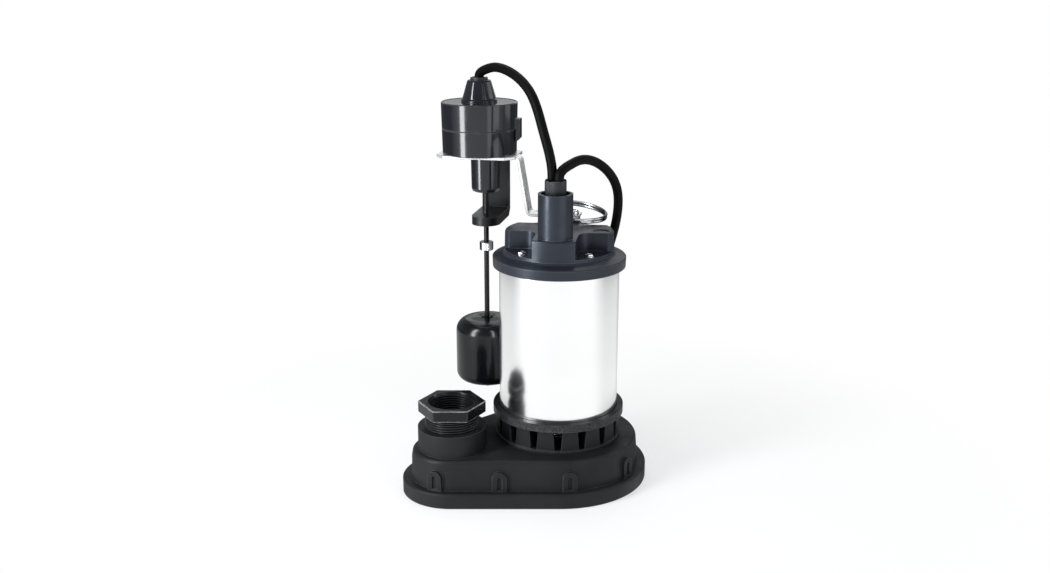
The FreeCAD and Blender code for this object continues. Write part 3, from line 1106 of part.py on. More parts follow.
def switch_case():
    """Lower and upper halves of the round switch case, and its lid."""
    wall, floor = "dims.case_wall", "dims.case_low_z + dims.case_wall"
    seam = "(dims.case_low_radius + dims.case_radius) / 2"
    body = turned("low_case", [
        ("0", "dims.case_low_z"), ("dims.case_low_radius - 0.6", "dims.case_low_z"),
        ("dims.case_low_radius", "dims.case_low_z + 0.6"),
        (f"{seam}", "dims.case_seam_z - 0.5"), (f"{seam} - 0.5", "dims.case_seam_z"),
        (f"{seam} - {wall}", "dims.case_seam_z"), (f"dims.case_low_radius - {wall}", floor), ("0", floor)])
    reaches = [("dims.mount_screw_reach", "0"), ("-dims.mount_screw_reach", "0")]
    sketch = hole_sketch(body, "case_bosses", floor, reaches, "dims.mount_screw_radius + 1.8")
    pad(body, sketch, "dims.case_boss_tall")
    posts = [("dims.post_along - dims.case_along",
              f"{sign}dims.post_across + dims.case_across - dims.rod_across") for sign in ("", "-")]
    sketch = hole_sketch(body, "case_posts", floor, posts, "dims.post_radius")
    pad(body, sketch, f"dims.micro_low_z - ({floor})")
    sketch = hole_sketch(body, "case_taps", "dims.case_low_z + dims.case_tap_depth", reaches,
                         "dims.mount_screw_radius + dims.fit_gap")
    pocket(body, sketch, "dims.case_tap_depth")
    sketch = hole_sketch(body, "neck_hole", floor, [
        ("dims.rod_along - dims.case_along", "dims.case_across - dims.rod_across")],
        "dims.neck_spigot_radius + dims.fit_gap")
    pocket(body, sketch, wall)
    case = in_switch_frame("dims.case_along", "dims.case_across")
    subpart("switch_lower_case", place(body, *case, "0", "dims.switch_angle"))

    lid_low = "dims.case_z - dims.lid_thickness"
    body = turned("high_case", [
        (f"{seam} - {wall}", "dims.case_seam_z"), (f"{seam} - 0.5", "dims.case_seam_z"),
        (f"{seam}", "dims.case_seam_z + 0.5"), ("dims.case_radius", "dims.case_z - 0.8"),
        ("dims.case_radius - 0.6", "dims.case_z"), ("dims.lid_seat_radius", "dims.case_z"),
        ("dims.lid_seat_radius", lid_low), (f"dims.case_radius - {wall} - 1", lid_low),
        (f"dims.case_radius - {wall} - 1", f"{lid_low} - 1"),
        (f"dims.case_radius - {wall}", f"{lid_low} - 2")])
    sketch = sketch_on(body, "XZ_Plane", "side_lug", "-dims.side_lug_half")
    root, edge = "-dims.case_low_radius", "-dims.case_radius - dims.side_lug_out"
    outline(sketch, [
        (f"{root} + 1", "dims.side_lug_z"), (f"{edge}", "dims.side_lug_z"),
        (f"{edge}", "dims.side_lug_low_z + dims.side_lug_chamfer"),
        (f"{edge} + dims.side_lug_chamfer", "dims.side_lug_low_z"),
        (f"{root} - 0.9", "dims.side_lug_low_z"), (f"{root} - 0.9", "dims.case_seam_z + 0.6"),
        (f"{root} + 1", "dims.case_seam_z + 0.6")])
    pad(body, sketch, "2 * dims.side_lug_half")
    subpart("switch_upper_case", place(body, *case, "0", "dims.switch_angle"))

    subpart("switch_cover", place(turned("lid", [
        ("dims.cord_radius + 0.4", f"{lid_low} + dims.fit_gap"),
        ("dims.lid_seat_radius - 0.05", f"{lid_low} + dims.fit_gap"),
        ("dims.lid_seat_radius - 0.05", "dims.case_z - 0.6"),
        ("dims.case_radius - 2.6", "dims.case_z - 0.3"),
        ("dims.cord_radius + 0.4", "dims.case_z - 0.3")]), *case))
    subpart("switch_gland", place(turned("gland", [
        ("dims.cord_radius + 0.2", "dims.case_z - 0.25"),
        ("dims.gland_flange_radius", "dims.case_z - 0.25"),
        ("dims.gland_flange_radius", "dims.case_z + dims.gland_foot - 1"),
        ("dims.gland_low_radius", "dims.case_z + dims.gland_foot"),
        ("dims.gland_top_radius + 0.4", "dims.gland_z - 1.5"),
        ("dims.gland_top_radius - 1.2", "dims.gland_z"),
        ("dims.collar_nut_radius + dims.fit_gap", "dims.gland_z"),
        ("dims.collar_nut_radius + dims.fit_gap", "dims.gland_z - dims.collar_sunk"),
        ("dims.cord_radius + 0.2", "dims.gland_z - dims.collar_sunk")]), *case))
    subpart("switch_gland_collar", place(turned("gland_collar", [
        ("dims.cord_radius + 0.1", "dims.gland_z - dims.collar_sunk + 0.1"),
        ("dims.collar_nut_radius", "dims.gland_z - dims.collar_sunk + 0.1"),
        ("dims.collar_nut_radius", "dims.collar_nut_z - 0.8"),
        ("dims.collar_nut_radius - 0.8", "dims.collar_nut_z"),
        ("dims.cord_radius + 0.1", "dims.collar_nut_z")]), *case))


def switch_neck():
    """Round neck under the switch that the rod slides in."""
    low, high, out = "dims.neck_z", "dims.case_low_z", "dims.neck_radius"
    rod = in_switch_frame("dims.rod_along", "dims.rod_across")
    subpart("switch_neck", place(turned("neck", [
        ("dims.rod_hole_radius", low), (f"{out} - 0.5 - dims.neck_round", low),
        (f"{out} - 1.4", f"{low} + 1"), (f"{out} - 0.5", f"{low} + dims.neck_round"),
        (out, f"{high} - dims.fit_gap"), ("dims.neck_spigot_radius", f"{high} - dims.fit_gap"),
        ("dims.neck_spigot_radius", f"{high} + dims.case_wall"),
        ("dims.rod_hole_radius", f"{high} + dims.case_wall")]), *rod))


def float_guide():
    """L-shaped guide: a back plate hung from the switch case and a foot that the rod passes through."""
    body = new_body("guide")
    half = "dims.guide_width / 2"
    back = "-dims.rod_across - dims.guide_gap"
    sketch = sketch_on(body, "XY_Plane", "guide_foot", "dims.guide_low_z")
    left, right = f"dims.rod_along - {half}", f"dims.rod_along + {half}"
    outline(sketch, [(left, f"{back} - dims.guide_thickness"), (right, f"{back} - dims.guide_thickness"),
                     (right, "-dims.rod_across"), (left, "-dims.rod_across")])
    foot = pad(body, sketch, "dims.guide_foot")
    sketch = hole_sketch(body, "guide_nose", "dims.guide_low_z", [("dims.rod_along", "-dims.rod_across")],
                         f"{half}")
    pad(body, sketch, "dims.guide_foot")
    sketch = sketch_on(body, "XY_Plane", "guide_plate", "dims.guide_low_z + dims.guide_foot - 1")
    outline(sketch, [(left, f"{back} - dims.guide_thickness"), (right, f"{back} - dims.guide_thickness"),
                     (right, back), (left, back)])
    pad(body, sketch, "dims.case_low_z - dims.guide_low_z - dims.guide_foot + 1 - dims.fit_gap")
    sketch = sketch_on(body, "XY_Plane", "guide_flange", "dims.case_low_z - dims.guide_flange_thickness")
    plate_edge = "-dims.case_across - dims.plate_half_width - 1"
    outline(sketch, [(left, f"{back} - 1"), (right, f"{back} - 1"), (right, plate_edge), (left, plate_edge)])
    flange = pad(body, sketch, "dims.guide_flange_thickness - dims.fit_gap")
    heel = value(f"{back} - dims.guide_thickness")
    feature = body.newObject("PartDesign::Chamfer", "guide_heel")
    heel_edges = [f"Edge{index}" for index, edge in enumerate(flange.Shape.Edges, start=1)
                  if level_edge(value("dims.guide_low_z"))(edge) and abs(edge.BoundBox.YMin - heel) < NEAR
                  and edge.BoundBox.YLength < NEAR]
    feature.Base = (flange, heel_edges)
    feature.setExpression("Size", "dims.guide_heel")
    doc.recompute()
    sketch = hole_sketch(body, "guide_hole", "dims.guide_low_z + dims.guide_foot",
                         [("dims.rod_along", "-dims.rod_across")], "dims.rod_hole_radius")
    pocket(body, sketch, "dims.guide_foot")
    subpart("float_guide", place(body, turn="dims.switch_angle"))


def float_group():
    """The rod with its stops, and the float that rides on it."""
    rod = in_switch_frame("dims.rod_along", "dims.rod_across")
    snug = "dims.rod_radius + dims.fit_gap"
    subpart("float_rod", place(turned("rod", [
        ("0", "dims.rod_low_z"), ("dims.rod_radius - 0.6", "dims.rod_low_z"),
        ("dims.rod_radius", "dims.rod_low_z + 0.6"), ("dims.rod_radius", "dims.rod_z"),
        ("0", "dims.rod_z")]), *rod))
    subpart("rod_stop_collar", place(turned("stop", [
        (snug, "dims.stop_low_z"), ("dims.stop_radius - 0.5", "dims.stop_low_z"),
        ("dims.stop_radius", "dims.stop_low_z + 0.5"), ("dims.stop_radius", "dims.stop_z - 0.5"),
        ("dims.stop_radius - 0.5", "dims.stop_z"), (snug, "dims.stop_z")]), *rod))
    subpart("rod_end_stop", place(turned("end_stop", ring_section(
        snug, "dims.end_stop_radius", "dims.rod_low_z + 2", "dims.end_stop_z")), *rod))
    subpart("rod_plunger", place(turned("plunger", [
        ("0", "dims.rod_z + dims.fit_gap"), (snug, "dims.rod_z + dims.fit_gap"),
        (snug, "dims.plunger_low_z"), ("dims.plunger_radius", "dims.plunger_low_z"),
        ("dims.plunger_radius", "dims.plunger_z"), ("0", "dims.plunger_z")]), *rod))
    body = turned("float_blank", [
        ("dims.float_bore", "dims.float_low_z"), ("dims.float_radius", "dims.float_low_z"),
        ("dims.float_radius", "dims.float_z"), ("dims.float_bore + 3", "dims.float_z"),
        ("dims.float_bore + 2.4", "dims.float_z - 2"), ("dims.float_bore", "dims.float_z - 2")])
    radius = value("dims.float_radius")

    def rim(height):
        flat = level_edge(height)
        return lambda edge: flat(edge) and abs(edge.BoundBox.XMax - radius) < NEAR
    top = rounded(body, body.Tip, "dims.float_top_round", rim(value("dims.float_z")))
    rounded(body, top, "dims.float_low_round", rim(value("dims.float_low_z")))
    subpart("float", place(body, *rod))


def microswitch():
    """Snap switch over the rod: body with two ears, the lever on its pin and the button."""
    half, low = "dims.micro_width / 2", "dims.micro_low_z"
    pivot = "dims.rod_along - dims.lever_pivot_back"
    body = new_body("micro")
    sketch = sketch_on(body, "XY_Plane", "micro_block", low)
    left, right = f"{pivot} - 2", f"{pivot} - 2 + dims.micro_length"
    outline(sketch, [(left, f"-dims.rod_across - {half}"), (right, f"-dims.rod_across - {half}"),
                     (right, f"-dims.rod_across + {half}"), (left, f"-dims.rod_across + {half}")])
    pad(body, sketch, "dims.micro_tall")
    for side, sign in (("near", "+"), ("far", "-")):
        sketch = sketch_on(body, "XY_Plane", f"micro_ear_{side}", f"{low} - dims.ear_drop")
        inner, outer = f"-dims.rod_across {sign} dims.ear_inner", f"-dims.rod_across {sign} dims.ear_outer"
        back, front = f"{pivot} - dims.ear_half_length", f"{pivot} + dims.ear_half_length"
        outline(sketch, [(back, inner), (front, inner), (front, outer), (back, outer)])
        pad(body, sketch, "dims.ear_drop + 0.1")
    button_spot = [("dims.rod_along - dims.button_back", "-dims.rod_across")]
    sketch = hole_sketch(body, "button_bore", f"{low} + dims.button_bore_depth", button_spot,
                         "dims.button_radius + 0.05")
    pocket(body, sketch, "dims.button_bore_depth")
    subpart("microswitch_body", place(body, turn="dims.switch_angle"))

    spot = in_switch_frame("dims.rod_along - dims.button_back", "dims.rod_across")
    subpart("microswitch_button", place(turned("button", [
        ("0", f"{low} - dims.button_reach + 0.25"),
        ("dims.button_radius - 0.3", f"{low} - dims.button_reach + 0.25"),
        ("dims.button_radius", f"{low} - dims.button_reach + 0.55"), ("dims.button_radius", f"{low} + 2"),
        ("0", f"{low} + 2")]), *spot))

    strip = box("lever_strip", "dims.lever_length", "dims.lever_width", "dims.lever_thickness",
                "0", "-dims.lever_width / 2", "-dims.lever_thickness / 2")
    pin_bar = doc.addObject("Part::Cylinder", "lever_pin")
    pin_bar.setExpression("Radius", "dims.lever_thickness")
    pin_bar.setExpression("Height", "dims.lever_width")
    pin_bar.Placement.Rotation = FreeCAD.Rotation(FreeCAD.Vector(1, 0, 0), 90)
    pin_bar.setExpression("Placement.Base.y", "dims.lever_width / 2")
    lever = fuse("lever_whole", [strip, pin_bar])
    spot = [value(expression) for expression in in_switch_frame(pivot, "dims.rod_across")]
    turn = FreeCAD.Rotation(FreeCAD.Vector(0, 0, 1), value("dims.switch_angle"))
    tilt = FreeCAD.Rotation(FreeCAD.Vector(0, 1, 0), value("dims.lever_tilt"))
    lever.Placement = FreeCAD.Placement(FreeCAD.Vector(*spot, value("dims.lever_pivot_z")), turn * tilt)
    subpart("microswitch_lever", lever)


def carry_ring():
    """Two-turn split ring of round wire that swings in the cap's lug."""
    centre, normal, eye, hinge = ring_axis()
    half = "dims.ring_turn_gap / 2"
    turns = [torus(f"ring_turn_{index}", "dims.ring_radius", "dims.ring_wire", height)
             for index, height in enumerate((f"-{half}", half))]
    ring = fuse("ring_whole", turns)
    ring.Placement = FreeCAD.Placement(centre, FreeCAD.Rotation(FreeCAD.Vector(0, 0, 1), normal))
    subpart("carry_ring", ring)


# ---- the whole pump -------------------------------------------------------------------------------

def write_subparts():
    """Checks every object and writes each sub-part to its own file."""
    doc.recompute()
    failed = [item.Name for item in doc.Objects if "Invalid" in item.State or "Error" in item.State]
    if failed:
        raise RuntimeError(f"these objects failed: {failed}")
    for name, item in SUBPARTS.items():
        if item.Shape.isNull() or not item.Shape.isValid() or not item.Shape.Solids:
            raise RuntimeError(f"{name} has no valid solid")
    for name, item in SUBPARTS.items():
        item.Shape.exportStep(f"parts/{name}.step")


volute_base()
bottom_cover()
discharge_bushing()
intake_strainer()
lower_motor_housing()
motor_shell()
shaft_seals()
bearing("lower_bearing", "dims.low_bearing_z")
bearing("upper_bearing", "dims.high_bearing_z")
shaft()
rotor()
stator()
upper_bearing_bracket()
motor_parts()
impeller()
top_cap()
tie_bolts()
cord_gland()
cords()
plug()
switch_bracket()
switch_case()
switch_neck()
float_guide()
float_group()
microswitch()
carry_ring()
write_subparts()
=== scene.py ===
"""Looks of the submersible sump pump.

Objects are in metres, +Z up, with the origin on the shaft's axis at the underside of the base. The mesh
helpers take millimetres.
"""

import json
import math

import bpy
from mathutils import Matrix, Vector

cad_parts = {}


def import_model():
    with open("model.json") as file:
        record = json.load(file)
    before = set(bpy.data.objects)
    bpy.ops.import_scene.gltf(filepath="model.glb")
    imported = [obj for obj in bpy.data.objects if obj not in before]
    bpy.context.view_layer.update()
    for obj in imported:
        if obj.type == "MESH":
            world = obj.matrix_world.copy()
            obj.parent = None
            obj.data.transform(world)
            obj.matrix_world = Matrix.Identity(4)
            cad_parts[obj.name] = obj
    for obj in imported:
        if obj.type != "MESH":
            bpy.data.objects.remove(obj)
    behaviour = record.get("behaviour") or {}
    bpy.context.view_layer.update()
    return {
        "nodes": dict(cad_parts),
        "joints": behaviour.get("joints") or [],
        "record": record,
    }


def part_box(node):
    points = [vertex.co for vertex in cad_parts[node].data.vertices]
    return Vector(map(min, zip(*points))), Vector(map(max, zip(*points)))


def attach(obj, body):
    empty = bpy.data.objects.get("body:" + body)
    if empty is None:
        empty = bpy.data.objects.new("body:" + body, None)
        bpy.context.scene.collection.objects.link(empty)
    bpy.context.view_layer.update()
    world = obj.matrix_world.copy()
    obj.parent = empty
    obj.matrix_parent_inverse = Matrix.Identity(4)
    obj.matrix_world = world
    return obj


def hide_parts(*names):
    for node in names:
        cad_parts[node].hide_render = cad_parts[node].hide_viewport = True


MM = 0.001
FULL = 2 * math.pi

# Height of the discharge bushing's hexagon, in millimetres.
HEX_TALL = 10.3

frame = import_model()
nodes = frame["nodes"]
record = frame["record"]
scene = bpy.context.scene


def middle(node):
    """Centre of a node's box in millimetres."""
    low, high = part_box(node)
    return (low + high) / 2 / MM


# ---- materials ------------------------------------------------------------------------------------

class Surface:
    """A procedural material: colour and roughness that vary, fine bump, and painted highlights and shade."""

    def __init__(self, name, colour, roughness, metallic=0.0, coat=0.0):
        self.material = bpy.data.materials.new(name)
        self.material.use_nodes = True
        self.tree = self.material.node_tree
        self.shader = self.tree.nodes["Principled BSDF"]
        self.shader.inputs["Metallic"].default_value = metallic
        self.shader.inputs["Coat Weight"].default_value = coat
        self.shader.inputs["Coat Roughness"].default_value = 0.06
        self.shader.inputs["Roughness"].default_value = roughness
        self.shader.inputs["Base Color"].default_value = (*colour, 1)
        self.colour = colour
        self.roughness = roughness
        self.coordinates = self.node("ShaderNodeTexCoord").outputs["Object"]
        self.normal = None

    def node(self, kind, **settings):
        made = self.tree.nodes.new(kind)
        for key, setting in settings.items():
            setattr(made, key, setting)
        return made

    def link(self, source, target):
        self.tree.links.new(source, target)

    def noise(self, scale, detail=3.0, stretch=None):
        """Noise over the object's own coordinates, stretched by an (x, y, z) factor where wanted."""
        made = self.node("ShaderNodeTexNoise")
        made.inputs["Scale"].default_value = scale
        made.inputs["Detail"].default_value = detail
        if stretch:
            mapping = self.node("ShaderNodeMapping")
            mapping.inputs["Scale"].default_value = stretch
            self.link(self.coordinates, mapping.inputs["Vector"])
            self.link(mapping.outputs["Vector"], made.inputs["Vector"])
        else:
            self.link(self.coordinates, made.inputs["Vector"])
        return made.outputs["Fac"]

    def remap(self, source, low, high, start=0.3, end=0.7):
        """Maps start to end of a source onto low to high, and stops at both."""
        made = self.node("ShaderNodeMapRange")
        made.inputs["From Min"].default_value = start
        made.inputs["From Max"].default_value = end
        made.inputs["To Min"].default_value = low
        made.inputs["To Max"].default_value = high
        self.link(source, made.inputs["Value"])
        return made.outputs["Result"]

    def product(self, first, second):
        made = self.node("ShaderNodeMath", operation="MULTIPLY")
        self.link(first, made.inputs[0])
        self.link(second, made.inputs[1])
        return made.outputs["Value"]

    def mixed(self, factor, first, second):
        """Colour between first and second, each a colour or an output."""
        made = self.node("ShaderNodeMix", data_type="RGBA")
        self.link(factor, made.inputs["Factor"])
        for name, source in (("A", first), ("B", second)):
            socket = [s for s in made.inputs if s.name == name and s.type == "RGBA"][0]
            if isinstance(source, tuple):
                socket.default_value = (*source, 1)
            else:
                self.link(source, socket)
        return [s for s in made.outputs if s.type == "RGBA"][0]

    def vary(self, scale, spread, rough_spread, stretch=None):
        """Lets colour and roughness drift by a share either way."""
        darker = tuple(c * (1 - spread) for c in self.colour)
        lighter = tuple(min(1.0, c * (1 + spread)) for c in self.colour)
        cloud = self.remap(self.noise(scale, stretch=stretch), 0, 1)
        self.shade = self.mixed(cloud, darker, lighter)
        self.link(self.shade, self.shader.inputs["Base Color"])
        low, high = self.roughness * (1 - rough_spread), self.roughness * (1 + rough_spread)
        patches = self.remap(self.noise(scale * 2.3, stretch=stretch), low, high)
        self.link(patches, self.shader.inputs["Roughness"])
        return self

    def soft_edges(self, radius):
        """Rounds the shading normal at edges, as a moulded or broken edge is."""
        bevel = self.node("ShaderNodeBevel", samples=4)
        bevel.inputs["Radius"].default_value = radius
        self.normal = bevel.outputs["Normal"]
        self.link(self.normal, self.shader.inputs["Normal"])
        return self

    def paint_edges(self, colour, radius, amount, mask=None, turn=(0.8, 0.99), ragged=0.35):
        """Paints a colour in along edges, where the surface turns sharply and where the mask lets it.

        A light colour makes a painted edge highlight, a dark one painted edge shade.
        turn gives the cosines of the rounding at which the painted colour is full and at which it starts;
        ragged is the share of it left where the noise is lowest.
        """
        bevel = self.node("ShaderNodeBevel", samples=4)
        bevel.inputs["Radius"].default_value = radius
        geometry = self.node("ShaderNodeNewGeometry")
        dot = self.node("ShaderNodeVectorMath", operation="DOT_PRODUCT")
        self.link(bevel.outputs["Normal"], dot.inputs[0])
        self.link(geometry.outputs["Normal"], dot.inputs[1])
        edge = self.remap(dot.outputs["Value"], amount, 0, *turn)
        share = self.product(edge, self.remap(self.noise(160), ragged, 1.0))
        if mask:
            share = self.product(share, mask)
        self.shade = self.mixed(share, self.shade, colour)
        self.link(self.shade, self.shader.inputs["Base Color"])
        return self

    def bump(self, scale, depth, detail=3.0, stretch=None):
        """Fine relief, depth in metres."""
        made = self.node("ShaderNodeBump")
        made.inputs["Strength"].default_value = 1.0
        made.inputs["Distance"].default_value = depth
        self.link(self.noise(scale, detail, stretch), made.inputs["Height"])
        if self.normal:
            self.link(self.normal, made.inputs["Normal"])
        self.normal = made.outputs["Normal"]
        self.link(self.normal, self.shader.inputs["Normal"])
        return self

    def paint_shade_on_tops(self, share):
        """Paints shade on faces that look up."""
        split = self.node("ShaderNodeSeparateXYZ")
        self.link(self.node("ShaderNodeNewGeometry").outputs["Normal"], split.inputs["Vector"])
        dark = tuple(c * share for c in self.colour)
        self.shade = self.mixed(self.remap(split.outputs["Z"], 0, 1, 0.6, 0.95), self.shade, dark)
        self.link(self.shade, self.shader.inputs["Base Color"])
        return self

    def dull(self, shine, tops=1.0, flanks=1.0):
        """Lowers the gloss of faces that look up, and of those seen edge-on, to these shares."""
        split = self.node("ShaderNodeSeparateXYZ")
        self.link(self.node("ShaderNodeNewGeometry").outputs["Normal"], split.inputs["Vector"])
        up = self.remap(split.outputs["Z"], 1, tops, 0.3, 0.9)
        layer = self.node("ShaderNodeLayerWeight")
        away = self.remap(layer.outputs["Facing"], shine, shine * flanks, 0.45, 0.85)
        self.link(self.product(up, away), self.shader.inputs["Specular IOR Level"])
        return self

    def paint_outline_shade(self, colour, start, end):
        """Paints shade on a round bar or head towards its outline, as the camera sees it."""
        layer = self.node("ShaderNodeLayerWeight")
        flank = self.remap(layer.outputs["Facing"], 0, 1, start, end)
        self.shade = self.mixed(flank, self.shade, colour)
        self.link(self.shade, self.shader.inputs["Base Color"])
        return self

    def banded(self, colour, amount, mask):
        """Mixes a colour in where the mask lets it."""
        level = self.node("ShaderNodeMath", operation="MULTIPLY")
        self.link(mask, level.inputs[0])
        level.inputs[1].default_value = amount
        self.shade = self.mixed(level.outputs["Value"], self.shade, colour)
        self.link(self.shade, self.shader.inputs["Base Color"])
        return self

    def speckle(self, colour, scale, threshold):
        """Lighter grains, as on a coated casting."""
        grains = self.remap(self.noise(scale, 2.0), 0, 1, threshold, threshold + 0.06)
        self.shade = self.mixed(grains, self.shade, colour)
        self.link(self.shade, self.shader.inputs["Base Color"])
        return self


def plastic(name, colour, roughness, grain, edge, coat=0.0, edge_highlight=(0.16, 0.17, 0.19), edge_highlight_share=0.35, shine=0.3):
    """Moulded plastic: grain is the depth of its relief and edge its rounding.

    A painted highlight of the given colour and share runs along its edges.
    """
    surface = Surface(name, colour, roughness, coat=coat).vary(28, 0.16, 0.16).soft_edges(edge)
    surface.shader.inputs["Specular IOR Level"].default_value = shine
    # Painted highlight along every edge of the moulding.
    return surface.paint_edges(edge_highlight, 0.001, edge_highlight_share).bump(900, grain)


def metal(name, colour, roughness, edge=0.0003, grain=0.000004, outline=0.0):
    """Bare metal. outline paints shade along its edges by that share."""
    surface = Surface(name, colour, roughness, metallic=1.0).vary(40, 0.05, 0.3).soft_edges(edge)
    if outline:
        # Painted shade along the edges, as strong as the outline share.
        surface.paint_edges((0.10, 0.10, 0.105), 0.0011, outline, turn=(0.9, 0.995), ragged=0.85)
    return surface.bump(700, grain)


def base_plastic():
    """Matt black moulding of the base, the strainer and the bottom cover."""
    surface = plastic("base_plastic", (0.0118, 0.0130, 0.0134), 0.5, grain=0.000012, edge=0.0009, edge_highlight_share=0.45,
                      shine=0.2)
    return surface.dull(0.2, flanks=0.4)


def cast_flange():
    """Black coating over a coarse casting, with lighter grains and painted shade on its tops."""
    surface = plastic("cast_flange", (0.012, 0.012, 0.0125), 0.5, grain=0.00005, edge=0.0006,
                      edge_highlight=(0.2, 0.2, 0.2), shine=0.2)
    # Painted shade on the faces that look up.
    return surface.speckle((0.075, 0.075, 0.077), 1300, 0.52).paint_shade_on_tops(0.5)


def cap_plastic():
    """Satin blue-black moulding of the top cap."""
    surface = plastic("cap_plastic", (0.0125, 0.0148, 0.021), 0.34, grain=0.000006, edge=0.0008,
                      edge_highlight=(0.24, 0.27, 0.33), edge_highlight_share=0.55, shine=0.45)
    surface.shader.inputs["Specular Tint"].default_value = (0.78, 0.87, 1.0, 1)
    return surface.dull(0.45, tops=0.7, flanks=0.4)


def switch_plastic():
    """Glossy blue-black moulding of the switch case."""
    surface = plastic("switch_plastic", (0.008, 0.009, 0.0125), 0.19, grain=0.000002, edge=0.0005, coat=0.35,
                      edge_highlight=(0.3, 0.3, 0.32), edge_highlight_share=0.7, shine=0.32)
    return surface.dull(0.32, flanks=0.35)


def float_plastic():
    """Glossy black skin of the float."""
    surface = plastic("float_plastic", (0.0025, 0.003, 0.004), 0.22, grain=0.000002, edge=0.0006, coat=0.15,
                      edge_highlight_share=0.12, shine=0.3)
    return surface.dull(0.3, flanks=0.35)


def cord_rubber():
    """Matt black jacket of the cords and the plug."""
    return plastic("cord_rubber", (0.0014, 0.0013, 0.0012), 0.55, grain=0.00002, edge=0.0004, edge_highlight_share=0.1,
                   shine=0.09)


def bright_steel():
    """Plated fasteners and wire: bright where they face the eye, with painted shade towards their outline.
    """
    surface = metal("bright_steel", (0.8, 0.8, 0.81), 0.24)
    return surface.paint_outline_shade((0.045, 0.045, 0.05), 0.14, 0.5)


def polished_strip():
    """Stainless strip with painted shade along its edges; part of its light is scattered, as from a brushed
    face.
    """
    surface = metal("polished_strip", (0.86, 0.86, 0.87), 0.3, edge=0.0004, outline=0.9)
    surface.shader.inputs["Metallic"].default_value = 0.65
    return surface


def bushing_plastic():
    """Glossy black plastic with painted highlights on the hexagon's outer edges and on the thread crests."""
    surface = Surface("bushing_plastic", (0.0035, 0.0038, 0.0045), 0.26).vary(28, 0.16, 0.16)
    surface.soft_edges(0.0005)
    surface.dull(0.3, tops=0.25, flanks=0.6)
    from_axis = surface.node("ShaderNodeVectorMath", operation="SUBTRACT")
    surface.link(surface.coordinates, from_axis.inputs[0])
    from_axis.inputs[1].default_value = middle("discharge_bushing") * MM
    level = surface.node("ShaderNodeVectorMath", operation="MULTIPLY")
    surface.link(from_axis.outputs["Vector"], level.inputs[0])
    level.inputs[1].default_value = (1, 1, 0)
    length = surface.node("ShaderNodeVectorMath", operation="LENGTH")
    surface.link(level.outputs["Vector"], length.inputs[0])
    reach = length.outputs["Value"]
    split = surface.node("ShaderNodeSeparateXYZ")
    surface.link(surface.coordinates, split.inputs["Vector"])
    height = split.outputs["Z"]

    hexagon_foot = (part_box("discharge_bushing")[1].z / MM - HEX_TALL) * MM
    hexagon_zone = surface.remap(height, 0, 1, hexagon_foot - 0.0005, hexagon_foot - 0.0001)
    thread_zone = surface.remap(height, 1, 0, hexagon_foot - 0.0009, hexagon_foot - 0.0005)
    male_crest_highlight = surface.product(surface.remap(reach, 0, 1, 0.0235, 0.0240), thread_zone)
    female_crest_highlight = surface.remap(reach, 1, 0, 0.0197, 0.0202)
    # Painted highlights on the crests of the outer and the inner thread.
    surface.banded((0.045, 0.045, 0.047), 0.8, male_crest_highlight)
    surface.banded((0.017, 0.017, 0.018), 0.8, female_crest_highlight)
    # Painted highlight along the hexagon's outer edges.
    outside = surface.product(surface.remap(reach, 0, 1, 0.0225, 0.0235), hexagon_zone)
    surface.paint_edges((0.5, 0.5, 0.51), 0.0011, 0.9, outside, turn=(0.93, 0.998))
    return surface.bump(900, 0.000003)


def shell_steel():
    """Drawn stainless: nearly a mirror, with fine lines round the shell."""
    surface = Surface("stainless_shell", (0.93, 0.935, 0.94), 0.18, metallic=1.0)
    surface.vary(9, 0.02, 0.1, stretch=(0.4, 0.4, 2.5))
    surface.bump(160, 0.00000005, detail=4.0, stretch=(0.15, 0.15, 50))
    surface.shader.inputs["Anisotropic"].default_value = 0.35
    return surface


def outer_surfaces():
    """Materials of the pieces seen from outside, by slot."""
    return {
        "base_plastic": base_plastic(),
        "bushing_plastic": bushing_plastic(),
        "cast_flange": cast_flange(),
        "cap_plastic": cap_plastic(),
        "gland_plastic": plastic("gland_plastic", (0.016, 0.017, 0.020), 0.42, grain=0.00001, edge=0.0004,
                                 edge_highlight_share=0.5),
        "cord_rubber": cord_rubber(),
        "switch_plastic": switch_plastic(),
        "guide_plastic": plastic("guide_plastic", (0.004, 0.004, 0.0042), 0.36, grain=0.000006, edge=0.0006,
                                 edge_highlight_share=0.45, shine=0.36),
        "rod_black": plastic("rod_black", (0.004, 0.004, 0.0042), 0.3, grain=0.000004, edge=0.0003),
        "float_plastic": float_plastic(),
        "stainless_shell": shell_steel(),
        "bright_steel": bright_steel(),
        "polished_strip": polished_strip(),
        "brass_blades": metal("brass_blades", (0.75, 0.6, 0.32), 0.25),
    }


def inner_surfaces():
    """Materials of the pieces inside the motor, the pump and the switch, by slot."""
    return {
        "bearing_steel": metal("bearing_steel", (0.6, 0.6, 0.62), 0.2),
        "lamination": metal("lamination", (0.25, 0.25, 0.27), 0.45),
        "cast_aluminium": metal("cast_aluminium", (0.62, 0.63, 0.64), 0.4, edge=0.0005, grain=0.00003),
        "copper": metal("copper", (0.7, 0.36, 0.2), 0.3, edge=0.0005, grain=0.00005),
        "capacitor_can": metal("capacitor_can", (0.7, 0.7, 0.72), 0.3),
        "seal_rubber": plastic("seal_rubber", (0.015, 0.015, 0.015), 0.6, grain=0.00001, edge=0.0003),
        "seal_ceramic": plastic("seal_ceramic", (0.8, 0.79, 0.75), 0.3, grain=0.000002, edge=0.0003,
                                edge_highlight=(0.9, 0.9, 0.9)),
        "impeller_plastic": plastic("impeller_plastic", (0.045, 0.045, 0.05), 0.4, grain=0.00001,
                                    edge=0.0005),
        "button_red": plastic("button_red", (0.45, 0.04, 0.03), 0.35, grain=0.000004, edge=0.0002),
    }


